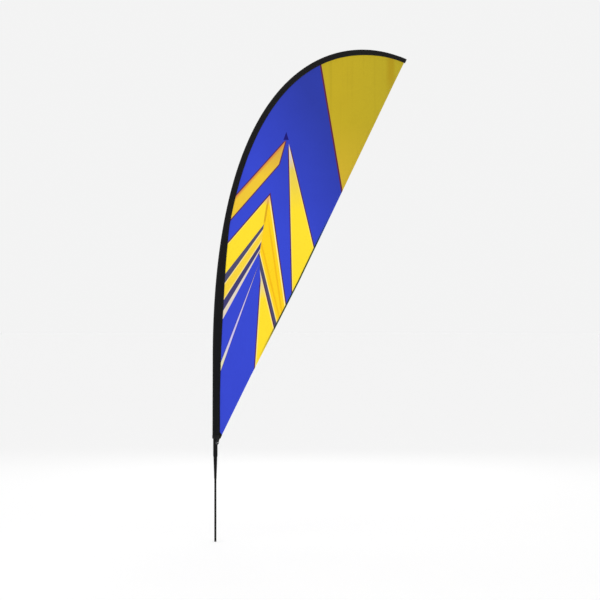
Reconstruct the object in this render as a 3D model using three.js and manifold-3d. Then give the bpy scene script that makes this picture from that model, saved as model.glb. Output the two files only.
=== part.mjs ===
// Teardrop flag: a bowed flag on a rotating ground spike. Millimetres, +Z up.
// The origin is the centre of the spike's blunt lower end, +X points to the flag's free edge and
// the flag lies in the XZ plane. Every piece on the pole is drawn straight and then bent onto the bow.
import * as THREE from 'three';
import { mergeVertices } from 'three/addons/utils/BufferGeometryUtils.js';
import Module from 'manifold-3d';

const wasm = await Module();
wasm.setup();

// ---------------------------------------------------------------- driving dimensions
const GAP = 0.3;                // clearance between pieces that touch
const RUNNING_GAP = 0.3;        // clearance of the rotor on its spindle

const SHANK_LENGTH = 418;       // thick part of the spike, up to the shoulder that carries the rotor
const SHANK_STEP = 1;           // the shank stands this much proud of the spindle
const SPINDLE_D = 10;
const TIP_CHAMFER = 1.5;
const WASHER_THICKNESS = 1.6;
const CLIP_THICKNESS = 1.2;
const CLIP_GROOVE_DEPTH = 0.9;
const CLIP_MOUTH = 72;          // degrees that the clip is open
const CLIP_REACH = 3.2;         // how far the retaining clip stands out of the spindle
const SPINDLE_OVERRUN = 3;      // spindle above the clip

const BUSH_WALL = 1.4;
const BUSH_LENGTH = 20;
const BUSH_FLANGE = 1.5;
const HUB_WALL = 1;             // hub wall under an O-ring groove
const O_RING_D = 1.9;
const GROOVE_DEPTH = 1.7;
const BOOT_LENGTH = 28;
const BOOT_LIP = 0.6;
const HUB_SKIRT_LENGTH = 38;    // hub below the shoulder, round the shank
const HUB_CONE_LENGTH = 83;
const HUB_NECK_LENGTH = 14;     // straight part between the cone and the flange
const HUB_FLANGE = 3;
const SPIGOT_LENGTH = 50;
const LOWER_GROOVE = 0.2;       // the O-ring grooves, as shares of the spigot's length
const UPPER_GROOVE = 0.7;

const BASE_TUBE_WALL = 2;
const SECTION_WALL = 1.7;       // wall of the two middle sections
const BASE_SECTION = 700;       // base tube, from the hub's flange to its mouth
const POLE_SECTION = 690;       // visible length of each section above it
const SECTION_OVERLAP = 90;     // how far each section slides into the one below
const COLLAR_LENGTH = 12;
const COLLAR_RIM = 2;
const TIP_ROD_END_D = 6.5;
const CAP_LENGTH = 18;
const CAP_WALL = 1.3;
const CAP_END = 2.5;

const BOW_START = 548;          // straight pole above the hub's flange
const TIP_REACH = 1067.5;       // pole tip, measured outwards from the spindle
const TIP_RISE = 1663.6;        // pole tip, measured up from where the bow starts
const TIP_TURN = 114.65;        // degrees that the pole has turned at its tip
const BOW_UP_PULL = 0.993;      // curve handle at the bottom, as a share of the rise
const BOW_BACK_PULL = 0.398;    // curve handle at the tip, as a share of the reach

const MOUTH_HEIGHT = 18.2;      // sleeve's mouth above the ring's bar
const CLOTH_WALL = 1.2;
const MOUTH_SLACK = 2.7;        // air between the base tube and the sleeve
const TIP_SLACK = 5;
const CAP_SLACK = 7.5;          // air between the tip cap and the pocket's end
const MOUTH_TAIL = 26;          // pole axis to the seam, at the mouth
const UPPER_TAIL = 21.5;        // and above the belly
const TIP_TAIL = 14;            // and at the tip
const BELLY = 11.5;             // the sleeve's extra depth where the pole starts to bow
const BELLY_AT = 752;           // measured along the sleeve from its mouth
const BELLY_BEFORE = 600;
const BELLY_AFTER = 480;
const TAIL_STEP_AT = 1072;      // where the seam moves in to the upper tail
const TAIL_STEP_LENGTH = 150;
const TIP_NARROWING = 300;
const SEAM_WIDTH = 8;
const SEAM_HALF = 1.2;
const BINDING_HEIGHT = 18;
const POCKET_LENGTH = 42;
const POCKET_END = 2;

const PANEL_THICKNESS = 0.8;
const HEM_THICKNESS = 1.6;
const PATCH_THICKNESS = 2.4;
const HEM_WIDTH = 12;
const PATCH_HEIGHT = 37;
const LEECH_SETBACK = 6;        // the free edge stops this much short of the sleeve's end
const LEECH_FOOT = 0.6;         // width of the cloth that is left at the mouth

const HOOK_HEIGHT = 13.5;       // peg above the end of the spindle inside the tube
const HOOK_TURN = -40;          // degrees from +X, towards the front
const PEG_NECK_D = 6;
const PEG_HEAD_D = 10;
const PEG_HEAD = 3;
const PEG_SHANK_D = 4;
const PEG_TAIL_D = 6;
const PEG_TAIL = 1;
const PEG_WASHER_D = 8.4;
const PEG_WASHER = 1.2;
const RING_WIRE_D = 3;
const RING_WIDTH = 23;
const RING_DROP = 14.8;         // the ring's bar above the foot of its bow
const WEBBING = 1.2;
const STRAP_WIDTH = 17;
const STRAP_FLARE = 11.5;       // extra width at the strap's sewn end

const STATION_STEP = 70;        // longest straight facet along the pole
const ROUND_SIDES = 24;
const TUBE_SIDES = 16;
const NOSE_STEPS = 10;

// ---------------------------------------------------------------- sizes that follow from them
const spindleR = SPINDLE_D / 2;
const shankR = spindleR + SHANK_STEP;
const bushBoreR = spindleR + RUNNING_GAP;
const bushR = bushBoreR + BUSH_WALL;
const hubBoreR = bushR + GAP;
const grooveFloorR = hubBoreR + HUB_WALL;
const spigotR = grooveFloorR + GROOVE_DEPTH;
const baseBoreR = grooveFloorR + GAP + O_RING_D + GAP;
const baseTubeR = baseBoreR + BASE_TUBE_WALL;
const middleTubeR = baseBoreR - GAP;
const middleBoreR = middleTubeR - SECTION_WALL;
const upperTubeR = middleBoreR - GAP;
const upperBoreR = upperTubeR - SECTION_WALL;
const tipRodR = upperBoreR - GAP;
const tipRodEndR = TIP_ROD_END_D / 2;

const shoulderZ = SHANK_LENGTH;
const hubFootZ = shoulderZ - HUB_SKIRT_LENGTH;
const bootFootZ = hubFootZ - GAP - BOOT_LENGTH;
const washerZ = shoulderZ + GAP;
const lowerBushZ = washerZ + WASHER_THICKNESS + GAP;
const coneTopZ = hubFootZ + HUB_CONE_LENGTH;
const flangeTopZ = coneTopZ + HUB_NECK_LENGTH + HUB_FLANGE;
const spigotTopZ = flangeTopZ + SPIGOT_LENGTH;
const clipZ = spigotTopZ + GAP + BUSH_FLANGE + GAP;
const spindleTopZ = clipZ + CLIP_THICKNESS + SPINDLE_OVERRUN;

const baseFoot = flangeTopZ + GAP;
const baseMouth = flangeTopZ + BASE_SECTION;
const middleMouth = baseMouth + POLE_SECTION;
const upperMouth = middleMouth + POLE_SECTION;
const hookZ = spindleTopZ + HOOK_HEIGHT;
const ringFootZ = hookZ - PEG_NECK_D / 2 - GAP - RING_WIRE_D / 2;
const ringBarZ = ringFootZ + RING_DROP;
const mouthS = ringBarZ + MOUTH_HEIGHT;
const bowStartZ = flangeTopZ + BOW_START;

// ---------------------------------------------------------------- the bow
// Places on the pole are given by s, the length along the pole's centre line from the spike's end.
const tipTurn = THREE.MathUtils.degToRad(TIP_TURN);
const tipPoint = new THREE.Vector3(TIP_REACH, 0, bowStartZ + TIP_RISE);
const tipDirection = new THREE.Vector3(Math.sin(tipTurn), 0, Math.cos(tipTurn));
const bow = new THREE.CubicBezierCurve3(
  new THREE.Vector3(0, 0, bowStartZ),
  new THREE.Vector3(0, 0, bowStartZ + TIP_RISE * BOW_UP_PULL),
  tipPoint.clone().addScaledVector(tipDirection, -TIP_REACH * BOW_BACK_PULL),
  tipPoint,
);
bow.arcLengthDivisions = 2000;
const bowLength = bow.getLength();
const sleeveEnd = bowStartZ + bowLength;
const bindingTop = mouthS + BINDING_HEIGHT;
const pocketStart = sleeveEnd - POCKET_LENGTH;
const capEnd = sleeveEnd - POCKET_END - CAP_SLACK;
const capStart = capEnd - CAP_LENGTH;
const rodEnd = capEnd - CAP_END;

// Where the centre line is at s, which way it points, and which way the flag lies from it.
function poleFrame(s) {
  if (s <= bowStartZ) {
    return { centre: new THREE.Vector3(0, 0, s), inward: new THREE.Vector3(1, 0, 0) };
  }
  const share = Math.min((s - bowStartZ) / bowLength, 1);
  const along = bow.getTangentAt(share);
  const beyond = Math.max(s - sleeveEnd, 0);
  const centre = bow.getPointAt(share).addScaledVector(along, beyond);
  return { centre, inward: new THREE.Vector3(along.z, 0, -along.x) };
}

// Every bent piece breaks at the same stations, so that nested pieces keep their gaps.
const pieceEnds = [
  baseFoot, baseMouth, middleMouth, upperMouth, bowStartZ, mouthS, bindingTop, bindingTop + GAP,
  mouthS + PATCH_HEIGHT, pocketStart - GAP, pocketStart, sleeveEnd - LEECH_SETBACK,
  sleeveEnd - POCKET_END, sleeveEnd, rodEnd, rodEnd + GAP, capStart, capEnd,
];
for (const mouth of [baseMouth, middleMouth, upperMouth]) {
  pieceEnds.push(mouth - SECTION_OVERLAP, mouth + GAP, mouth + GAP + COLLAR_LENGTH);
}
pieceEnds.sort((a, b) => a - b);
const stations = [];
for (let k = 0; k + 1 < pieceEnds.length; k += 1) {
  const span = pieceEnds[k + 1] - pieceEnds[k];
  const steps = Math.ceil(span / STATION_STEP);
  for (let j = 0; j < steps; j += 1) stations.push(pieceEnds[k] + (span * j) / steps);
}
stations.push(pieceEnds[pieceEnds.length - 1]);

function stationsBetween(from, to) {
  return [from, ...stations.filter((s) => s > from + 1e-6 && s < to - 1e-6), to];
}

// Moves a straight piece, drawn with x towards the flag and z as s, onto the bow.
function bend(geometry) {
  const position = geometry.getAttribute('position');
  const frames = new Map();
  for (let i = 0; i < position.count; i += 1) {
    const s = position.getZ(i);
    const key = s.toFixed(4);
    if (!frames.has(key)) frames.set(key, poleFrame(s));
    const { centre, inward } = frames.get(key);
    const point = centre.clone().addScaledVector(inward, position.getX(i));
    position.setXYZ(i, point.x, position.getY(i), point.z);
  }
  return geometry;
}

// ---------------------------------------------------------------- shared shapes
function toSolid(geometry) {
  const bare = geometry.clone();
  bare.deleteAttribute('normal');
  bare.deleteAttribute('uv');
  const merged = mergeVertices(bare, 1e-4);
  return new wasm.Manifold(new wasm.Mesh({
    numProp: 3,
    vertProperties: new Float32Array(merged.getAttribute('position').array),
    triVerts: new Uint32Array(merged.index.array),
  }));
}

function toGeometry(solid) {
  const mesh = solid.getMesh();
  const geometry = new THREE.BufferGeometry();
  geometry.setAttribute('position', new THREE.BufferAttribute(mesh.vertProperties, 3));
  geometry.setIndex(new THREE.BufferAttribute(mesh.triVerts, 1));
  geometry.computeVertexNormals();
  return geometry;
}

// A turned piece about Z. The profile is pairs of radius and height, from the bottom of its outside
// up, and a piece with a bore comes back down the bore.
function turned(profile, sides) {
  const points = profile.map(([r, z]) => new THREE.Vector2(r, z));
  if (profile[0][0] > 0) points.push(points[0].clone());
  return new THREE.LatheGeometry(points, sides).rotateX(Math.PI / 2);
}

function ring(innerR, outerR, from, to, sides = ROUND_SIDES) {
  return turned([[innerR, from], [outerR, from], [outerR, to], [innerR, to]], sides);
}

// A hollow pole section, bent with the pole.
function poleTube(outerR, innerR, from, to) {
  const levels = stationsBetween(from, to);
  const outside = levels.map((s) => [outerR, s]);
  const inside = levels.map((s) => [innerR, s]).reverse();
  return bend(turned([...outside, ...inside], TUBE_SIDES));
}

// A solid piece on the pole, whose radius is a function of s.
function poleRod(radiusAt, from, to) {
  const levels = stationsBetween(from, to);
  const side = levels.map((s) => [radiusAt(s), s]);
  return bend(turned([[0, from], ...side, [0, to]], TUBE_SIDES));
}

function extruded(shape, depth) {
  return new THREE.ExtrudeGeometry(shape, { depth, steps: 1, bevelEnabled: false, curveSegments: 12 });
}

// ---------------------------------------------------------------- sleeve section
const mouthNose = baseTubeR + MOUTH_SLACK + CLOTH_WALL;
const tipNose = tipRodEndR + TIP_SLACK + CLOTH_WALL;

// Pole axis to the sleeve's outer edge.
function noseAt(s) {
  const share = (s - mouthS) / (sleeveEnd - mouthS);
  return THREE.MathUtils.lerp(mouthNose, tipNose, share);
}

// Pole axis to the seam between sleeve and panel.
function tailAt(s) {
  const along = s - mouthS;
  const stepShare = THREE.MathUtils.smoothstep(along, TAIL_STEP_AT, TAIL_STEP_AT + TAIL_STEP_LENGTH);
  const endShare = THREE.MathUtils.smoothstep(s, sleeveEnd - TIP_NARROWING, sleeveEnd);
  const plain = THREE.MathUtils.lerp(MOUTH_TAIL, UPPER_TAIL, stepShare);
  const reach = along < BELLY_AT ? BELLY_BEFORE : BELLY_AFTER;
  const off = Math.min(Math.abs(along - BELLY_AT) / reach, 1);
  const belly = BELLY * Math.cos((off * Math.PI) / 2) ** 2;
  return THREE.MathUtils.lerp(plain, TIP_TAIL, endShare) + belly;
}

// A round nose about the pole that closes to a flat tail, at the mouth's size.
function teardrop(noseR, tail, half) {
  const start = Math.acos(noseR / tail);
  const points = [new THREE.Vector2(tail, half)];
  for (let k = 0; k <= NOSE_STEPS; k += 1) {
    const angle = start + ((2 * Math.PI - 2 * start) * k) / NOSE_STEPS;
    points.push(new THREE.Vector2(noseR * Math.cos(angle), noseR * Math.sin(angle)));
  }
  points.push(new THREE.Vector2(tail, -half));
  return points;
}

// Extrudes a mouth-sized section along the pole, and fits its nose and tail to each station.
function alongSleeve(shape, from, to) {
  const levels = stationsBetween(from, to);
  const steps = levels.length - 1;
  const geometry = new THREE.ExtrudeGeometry(shape, { depth: steps, steps, bevelEnabled: false });
  const position = geometry.getAttribute('position');
  for (let i = 0; i < position.count; i += 1) {
    const s = levels[Math.round(position.getZ(i))];
    const noseScale = noseAt(s) / mouthNose;
    const x = position.getX(i);
    const xScale = x > 0 ? tailAt(s) / MOUTH_TAIL : noseScale;
    position.setXYZ(i, x * xScale, position.getY(i) * noseScale, s);
  }
  return bend(geometry);
}

function sleeveShell(wall, from, to) {
  const shape = new THREE.Shape(teardrop(mouthNose, MOUTH_TAIL, SEAM_HALF));
  const inside = teardrop(mouthNose - wall, MOUTH_TAIL - SEAM_WIDTH, SEAM_HALF / 2);
  shape.holes.push(new THREE.Path(inside));
  return alongSleeve(shape, from, to);
}

// ---------------------------------------------------------------- cloth
const leechTop = poleFrame(sleeveEnd - LEECH_SETBACK);
const leechTopPoint = leechTop.centre.clone().addScaledVector(
  leechTop.inward, tailAt(sleeveEnd - LEECH_SETBACK) + GAP,
);
const leechFootPoint = new THREE.Vector3(MOUTH_TAIL + GAP + LEECH_FOOT, 0, mouthS);

// The whole flag between the sleeve's seam and its straight free edge, at one thickness.
function flagCloth(thickness) {
  const outline = stationsBetween(mouthS, sleeveEnd - LEECH_SETBACK).map((s) => {
    const { centre, inward } = poleFrame(s);
    const point = centre.clone().addScaledVector(inward, tailAt(s) + GAP);
    return new THREE.Vector2(point.x, point.z);
  });
  outline.push(new THREE.Vector2(leechFootPoint.x, leechFootPoint.z));
  const geometry = extruded(new THREE.Shape(outline), thickness);
  return geometry.rotateX(Math.PI / 2).translate(0, thickness / 2, 0);
}

// A block that holds everything within a width of the free edge.
function hemBlock(width) {
  const along = leechTopPoint.clone().sub(leechFootPoint);
  const length = along.length() * 2;
  const tilt = Math.atan2(along.x, along.z);
  const depth = PATCH_THICKNESS * 4;
  const block = new THREE.BoxGeometry(width * 2, depth, length).rotateY(tilt);
  const middle = leechFootPoint.clone().addScaledVector(along, 0.5);
  return toSolid(block.translate(middle.x, 0, middle.z));
}

// A block that holds everything below a height above the mouth.
function patchBlock(height) {
  const size = TIP_REACH;
  const block = new THREE.BoxGeometry(size, PATCH_THICKNESS * 4, size);
  return toSolid(block.translate(0, 0, mouthS + height - size / 2));
}

function makePanel() {
  const cloth = toSolid(flagCloth(PANEL_THICKNESS));
  const withoutHem = cloth.subtract(hemBlock(HEM_WIDTH + GAP));
  return toGeometry(withoutHem.subtract(patchBlock(PATCH_HEIGHT + GAP)));
}

function makeHem() {
  const strip = toSolid(flagCloth(HEM_THICKNESS)).intersect(hemBlock(HEM_WIDTH));
  return toGeometry(strip.subtract(patchBlock(PATCH_HEIGHT + GAP)));
}

function makePatch() {
  return toGeometry(toSolid(flagCloth(PATCH_THICKNESS)).intersect(patchBlock(PATCH_HEIGHT)));
}

// The pocket is a cup: the sleeve's section with a wall across its end.
function makePocket() {
  const section = new THREE.Shape(teardrop(mouthNose, MOUTH_TAIL, SEAM_HALF));
  const inside = teardrop(mouthNose - CLOTH_WALL, MOUTH_TAIL - SEAM_WIDTH, SEAM_HALF / 2);
  const outer = toSolid(alongSleeve(section, pocketStart, sleeveEnd));
  const open = pocketStart - GAP;
  const inner = toSolid(alongSleeve(new THREE.Shape(inside), open, sleeveEnd - POCKET_END));
  return toGeometry(outer.subtract(inner));
}

// ---------------------------------------------------------------- spike and rotor
function makeSpike() {
  const grooveR = spindleR - CLIP_GROOVE_DEPTH;
  return turned([
    [0, 0],
    [shankR - TIP_CHAMFER, 0],
    [shankR, TIP_CHAMFER],
    [shankR, shoulderZ],
    [spindleR, shoulderZ],
    [spindleR, clipZ - GAP],
    [grooveR, clipZ - GAP],
    [grooveR, clipZ + CLIP_THICKNESS + GAP],
    [spindleR, clipZ + CLIP_THICKNESS + GAP],
    [spindleR, spindleTopZ - 1],
    [spindleR - 1, spindleTopZ],
    [0, spindleTopZ],
  ], ROUND_SIDES);
}

// A C-shaped clip that springs into the spindle's groove.
function makeClip() {
  const innerR = spindleR - CLIP_GROOVE_DEPTH + GAP;
  const outerR = spindleR + CLIP_REACH;
  const halfMouth = THREE.MathUtils.degToRad(CLIP_MOUTH / 2);
  const shape = new THREE.Shape();
  shape.absarc(0, 0, outerR, halfMouth, 2 * Math.PI - halfMouth, false);
  shape.absarc(0, 0, innerR, 2 * Math.PI - halfMouth, halfMouth, true);
  return extruded(shape, CLIP_THICKNESS).translate(0, 0, clipZ);
}

const grooveHeight = O_RING_D + 2 * GAP;
const grooveLowZ = flangeTopZ + SPIGOT_LENGTH * LOWER_GROOVE;
const grooveHighZ = flangeTopZ + SPIGOT_LENGTH * UPPER_GROOVE;
const hubFootR = shankR + RUNNING_GAP + HUB_WALL + GAP;

function makeHub() {
  const skirtBoreR = shankR + RUNNING_GAP;
  const flangeR = baseTubeR - GAP;
  const groove = (z) => [
    [spigotR, z],
    [grooveFloorR, z],
    [grooveFloorR, z + grooveHeight],
    [spigotR, z + grooveHeight],
  ];
  return turned([
    [skirtBoreR, hubFootZ],
    [hubFootR, hubFootZ],
    [baseBoreR, coneTopZ],
    [baseBoreR, flangeTopZ - HUB_FLANGE],
    [flangeR, flangeTopZ - HUB_FLANGE],
    [flangeR, flangeTopZ],
    [spigotR, flangeTopZ],
    ...groove(grooveLowZ),
    ...groove(grooveHighZ),
    [spigotR, spigotTopZ - 1],
    [spigotR - 1, spigotTopZ],
    [hubBoreR, spigotTopZ],
    [hubBoreR, shoulderZ],
    [skirtBoreR, shoulderZ],
  ], ROUND_SIDES);
}

function makeBoot() {
  const boreR = shankR + RUNNING_GAP;
  const topZ = bootFootZ + BOOT_LENGTH;
  return turned([
    [boreR, bootFootZ],
    [boreR + BOOT_LIP, bootFootZ],
    [hubFootR, topZ],
    [boreR, topZ],
  ], ROUND_SIDES);
}

function makeUpperBush() {
  const flangeZ = spigotTopZ + GAP;
  return turned([
    [bushBoreR, spigotTopZ - BUSH_LENGTH],
    [bushR, spigotTopZ - BUSH_LENGTH],
    [bushR, flangeZ],
    [spigotR - 1, flangeZ],
    [spigotR - 1, flangeZ + BUSH_FLANGE],
    [bushBoreR, flangeZ + BUSH_FLANGE],
  ], ROUND_SIDES);
}

function makeORing(grooveZ) {
  const centreR = grooveFloorR + GAP + O_RING_D / 2;
  const geometry = new THREE.TorusGeometry(centreR, O_RING_D / 2, 8, ROUND_SIDES);
  return geometry.translate(0, 0, grooveZ + grooveHeight / 2);
}

// ---------------------------------------------------------------- hook and strap
// These are drawn with x out of the tube and y across, then turned about the tube to their place.
const hookTurn = THREE.MathUtils.degToRad(HOOK_TURN);
const loopR = RING_WIRE_D / 2 + GAP + WEBBING;
const ringOut = baseTubeR + GAP + loopR;
const headOut = ringOut + RING_WIRE_D / 2 + GAP;
const washerOut = Math.sqrt(baseBoreR ** 2 - (PEG_WASHER_D / 2) ** 2) - GAP;
const washerIn = washerOut - PEG_WASHER;

// A piece turned about the line that leaves the tube at the hook; its profile runs outwards.
function turnedAcross(profile) {
  return turned(profile, TUBE_SIDES).rotateY(Math.PI / 2).translate(0, 0, hookZ);
}

function makePeg() {
  const tailTop = washerIn - GAP;
  return turnedAcross([
    [0, tailTop - PEG_TAIL],
    [PEG_TAIL_D / 2, tailTop - PEG_TAIL],
    [PEG_TAIL_D / 2, tailTop],
    [PEG_SHANK_D / 2, tailTop],
    [PEG_SHANK_D / 2, baseTubeR + GAP],
    [PEG_NECK_D / 2, baseTubeR + GAP],
    [PEG_NECK_D / 2, headOut],
    [PEG_HEAD_D / 2, headOut],
    [PEG_HEAD_D / 2, headOut + PEG_HEAD * 0.4],
    [PEG_HEAD_D * 0.38, headOut + PEG_HEAD * 0.85],
    [PEG_HEAD_D * 0.2, headOut + PEG_HEAD],
    [0, headOut + PEG_HEAD],
  ]);
}

function makePegWasher() {
  const boreR = PEG_SHANK_D / 2 + GAP;
  return turnedAcross([
    [boreR, washerIn],
    [PEG_WASHER_D / 2, washerIn],
    [PEG_WASHER_D / 2, washerOut],
    [boreR, washerOut],
  ]);
}

function makeBaseTube() {
  const tube = toSolid(poleTube(baseTubeR, baseBoreR, baseFoot, baseMouth));
  const drill = turnedAcross([
    [0, 0],
    [PEG_SHANK_D / 2 + GAP, 0],
    [PEG_SHANK_D / 2 + GAP, baseTubeR * 2],
    [0, baseTubeR * 2],
  ]);
  return toGeometry(tube.subtract(toSolid(drill.rotateZ(hookTurn))));
}

// The ring's bow is half an ellipse of wire and its bar closes it at the top.
function makeDRing() {
  const half = RING_WIDTH / 2;
  const points = [];
  const turns = 14;
  for (let k = 0; k <= turns; k += 1) {
    const angle = Math.PI + (Math.PI * k) / turns;
    const across = half * Math.cos(angle);
    points.push(new THREE.Vector3(ringOut, across, ringBarZ + RING_DROP * Math.sin(angle)));
  }
  const wire = new THREE.Shape();
  wire.absarc(0, 0, RING_WIRE_D / 2, 0, 2 * Math.PI, false);
  const path = new THREE.CatmullRomCurve3(points);
  const options = { steps: 20, bevelEnabled: false, extrudePath: path, curveSegments: 4 };
  let solid = toSolid(new THREE.ExtrudeGeometry(wire, options));
  const bar = new THREE.CylinderGeometry(RING_WIRE_D / 2, RING_WIRE_D / 2, RING_WIDTH, 12);
  solid = solid.add(toSolid(bar.translate(ringOut, 0, ringBarZ)));
  for (const side of [-1, 1]) {
    const corner = new THREE.SphereGeometry(RING_WIRE_D / 2, 12, 8);
    solid = solid.add(toSolid(corner.translate(ringOut, side * half, ringBarZ)));
  }
  return toGeometry(solid);
}

// Webbing that loops round the ring's bar and widens to the edge that is sewn to the sleeve's mouth.
function makeStrap() {
  const topZ = mouthS - GAP;
  const opening = Math.asin(WEBBING / loopR);
  const shape = new THREE.Shape();
  shape.moveTo(ringOut - WEBBING, topZ);
  shape.absarc(ringOut, ringBarZ, loopR, Math.PI / 2 + opening, 2.5 * Math.PI - opening, false);
  shape.lineTo(ringOut + WEBBING, topZ);
  const hole = new THREE.Path();
  hole.absarc(ringOut, ringBarZ, loopR - WEBBING, 0, 2 * Math.PI, true);
  shape.holes.push(hole);
  const geometry = extruded(shape, STRAP_WIDTH);
  geometry.rotateX(Math.PI / 2).translate(0, STRAP_WIDTH / 2, 0);
  const position = geometry.getAttribute('position');
  for (let i = 0; i < position.count; i += 1) {
    const share = THREE.MathUtils.clamp((position.getZ(i) - ringBarZ) / (topZ - ringBarZ), 0, 1);
    const y = position.getY(i);
    if (y > 0) position.setY(i, y + STRAP_FLARE * share);
  }
  return geometry;
}

// ---------------------------------------------------------------- pole ends and collars
function rodRadius(s) {
  const share = THREE.MathUtils.clamp((s - upperMouth) / (rodEnd - upperMouth), 0, 1);
  return THREE.MathUtils.lerp(tipRodR, tipRodEndR, share);
}

function makeCollar(tubeR, mouth) {
  return poleTube(tubeR + COLLAR_RIM, tubeR + GAP, mouth + GAP, mouth + GAP + COLLAR_LENGTH);
}

function makeTipCap() {
  const boreR = rodRadius(capStart) + GAP;
  const outside = poleRod(() => boreR + CAP_WALL, capStart, capEnd);
  const bore = poleRod(() => boreR, capStart - GAP, rodEnd + GAP);
  return toGeometry(toSolid(outside).subtract(toSolid(bore)));
}

// ---------------------------------------------------------------- assembly
const blackSteel = { color: 0x1b1b1c, roughness: 0.45, metalness: 0.6 };
const brightSteel = { color: 0xb9bcc0, roughness: 0.3, metalness: 1 };
const nylon = { color: 0x1d1d1e, roughness: 0.55, metalness: 0 };
const bronze = { color: 0x9a6b34, roughness: 0.4, metalness: 0.9 };
const rubber = { color: 0x141414, roughness: 0.8, metalness: 0 };
const anodised = { color: 0x121213, roughness: 0.4, metalness: 0.5 };
const fibreglass = { color: 0x1a1a1a, roughness: 0.5, metalness: 0 };
const blackCloth = { color: 0x131315, roughness: 0.9, metalness: 0 };
const blueCloth = { color: 0x3242c8, roughness: 0.75, metalness: 0 };
const yellowCloth = { color: 0xf6d723, roughness: 0.75, metalness: 0 };

const flag = new THREE.Group();

function add(parent, name, geometry, finish) {
  const mesh = new THREE.Mesh(geometry, new THREE.MeshStandardMaterial(finish));
  mesh.name = name;
  parent.add(mesh);
}

const spike = new THREE.Group();
add(spike, 'ground_spike', makeSpike(), blackSteel);
add(spike, 'thrust_washer', ring(bushBoreR, bushR, washerZ, washerZ + WASHER_THICKNESS), bronze);
add(spike, 'spindle_clip', makeClip(), brightSteel);
flag.add(spike);

const rotor = new THREE.Group();
add(rotor, 'rotor_hub', makeHub(), nylon);
add(rotor, 'dust_boot', makeBoot(), rubber);
add(rotor, 'lower_bush', ring(bushBoreR, bushR, lowerBushZ, lowerBushZ + BUSH_LENGTH), bronze);
add(rotor, 'upper_bush', makeUpperBush(), bronze);
add(rotor, 'lower_o_ring', makeORing(grooveLowZ), rubber);
add(rotor, 'upper_o_ring', makeORing(grooveHighZ), rubber);
flag.add(rotor);

const pole = new THREE.Group();
const middleFoot = baseMouth - SECTION_OVERLAP;
const upperFoot = middleMouth - SECTION_OVERLAP;
const tipFoot = upperMouth - SECTION_OVERLAP;
add(pole, 'base_tube', makeBaseTube(), anodised);
add(pole, 'middle_tube', poleTube(middleTubeR, middleBoreR, middleFoot, middleMouth), fibreglass);
add(pole, 'middle_collar', makeCollar(middleTubeR, baseMouth), brightSteel);
add(pole, 'upper_tube', poleTube(upperTubeR, upperBoreR, upperFoot, upperMouth), fibreglass);
add(pole, 'upper_collar', makeCollar(upperTubeR, middleMouth), brightSteel);
add(pole, 'tip_rod', poleRod(rodRadius, tipFoot, rodEnd), fibreglass);
add(pole, 'tip_collar', makeCollar(tipRodR, upperMouth), brightSteel);
add(pole, 'tip_cap', makeTipCap(), nylon);

const hook = new THREE.Group();
hook.rotation.z = hookTurn;
add(hook, 'hook_peg', makePeg(), nylon);
add(hook, 'hook_washer', makePegWasher(), brightSteel);
add(hook, 'strap_ring', makeDRing(), brightSteel);
add(hook, 'tension_strap', makeStrap(), blackCloth);
pole.add(hook);

add(pole, 'sleeve_binding', sleeveShell(CLOTH_WALL, mouthS, bindingTop), blackCloth);
add(pole, 'pole_sleeve', sleeveShell(CLOTH_WALL, bindingTop + GAP, pocketStart - GAP), blackCloth);
add(pole, 'tip_pocket', makePocket(), blackCloth);
add(pole, 'flag_panel', makePanel(), blueCloth);
add(pole, 'leech_hem', makeHem(), yellowCloth);
add(pole, 'tack_patch', makePatch(), blackCloth);
flag.add(pole);

export default flag;
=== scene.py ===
import math
from bisect import bisect_left

import bmesh
import bpy
from mathutils import Matrix, Vector, noise
from mathutils.kdtree import KDTree


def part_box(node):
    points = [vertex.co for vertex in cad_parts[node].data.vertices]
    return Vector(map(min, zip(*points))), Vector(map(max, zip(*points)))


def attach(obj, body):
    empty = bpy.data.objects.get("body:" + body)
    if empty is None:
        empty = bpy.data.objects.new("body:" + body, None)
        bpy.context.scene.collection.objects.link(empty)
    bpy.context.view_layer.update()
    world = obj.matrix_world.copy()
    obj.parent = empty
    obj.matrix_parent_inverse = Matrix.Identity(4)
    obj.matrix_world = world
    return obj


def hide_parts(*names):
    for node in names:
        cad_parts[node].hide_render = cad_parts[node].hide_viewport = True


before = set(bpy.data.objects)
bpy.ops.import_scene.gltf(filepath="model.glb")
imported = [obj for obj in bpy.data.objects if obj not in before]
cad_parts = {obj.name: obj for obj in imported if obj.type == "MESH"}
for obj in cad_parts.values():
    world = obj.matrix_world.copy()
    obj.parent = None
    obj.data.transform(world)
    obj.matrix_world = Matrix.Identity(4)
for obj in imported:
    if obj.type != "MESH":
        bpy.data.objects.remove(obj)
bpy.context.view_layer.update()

# ------------------------------------------------------------------ studio
# A wide pale floor under an even white sky, broad soft lights and a long lens square to the flag.
# All of it stands apart from the object.
VIEW_WIDTH = 3.36
VIEW_CENTRE = Vector((0.474, 0.0, 1.3535))
LENS = 100.0
SENSOR = 36.0

lens = bpy.data.cameras.new("camera")
lens.lens = LENS
lens.sensor_width = SENSOR
lens.clip_end = 200.0
camera = bpy.data.objects.new("camera", lens)
camera.location = VIEW_CENTRE - Vector((0, VIEW_WIDTH * LENS / SENSOR, 0))
camera.rotation_euler = (math.radians(90), 0, 0)
bpy.context.scene.collection.objects.link(camera)
bpy.context.scene.camera = camera
bpy.context.scene.view_settings.view_transform = "Standard"

world = bpy.data.worlds.new("studio")
world.use_nodes = True
sky = world.node_tree.nodes["Background"]
sky.inputs["Color"].default_value = (1.0, 1.0, 1.0, 1)
sky.inputs["Strength"].default_value = 0.9
bpy.context.scene.world = world

FLAG_MIDDLE = Vector((0.4, 0, 1.4))


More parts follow.
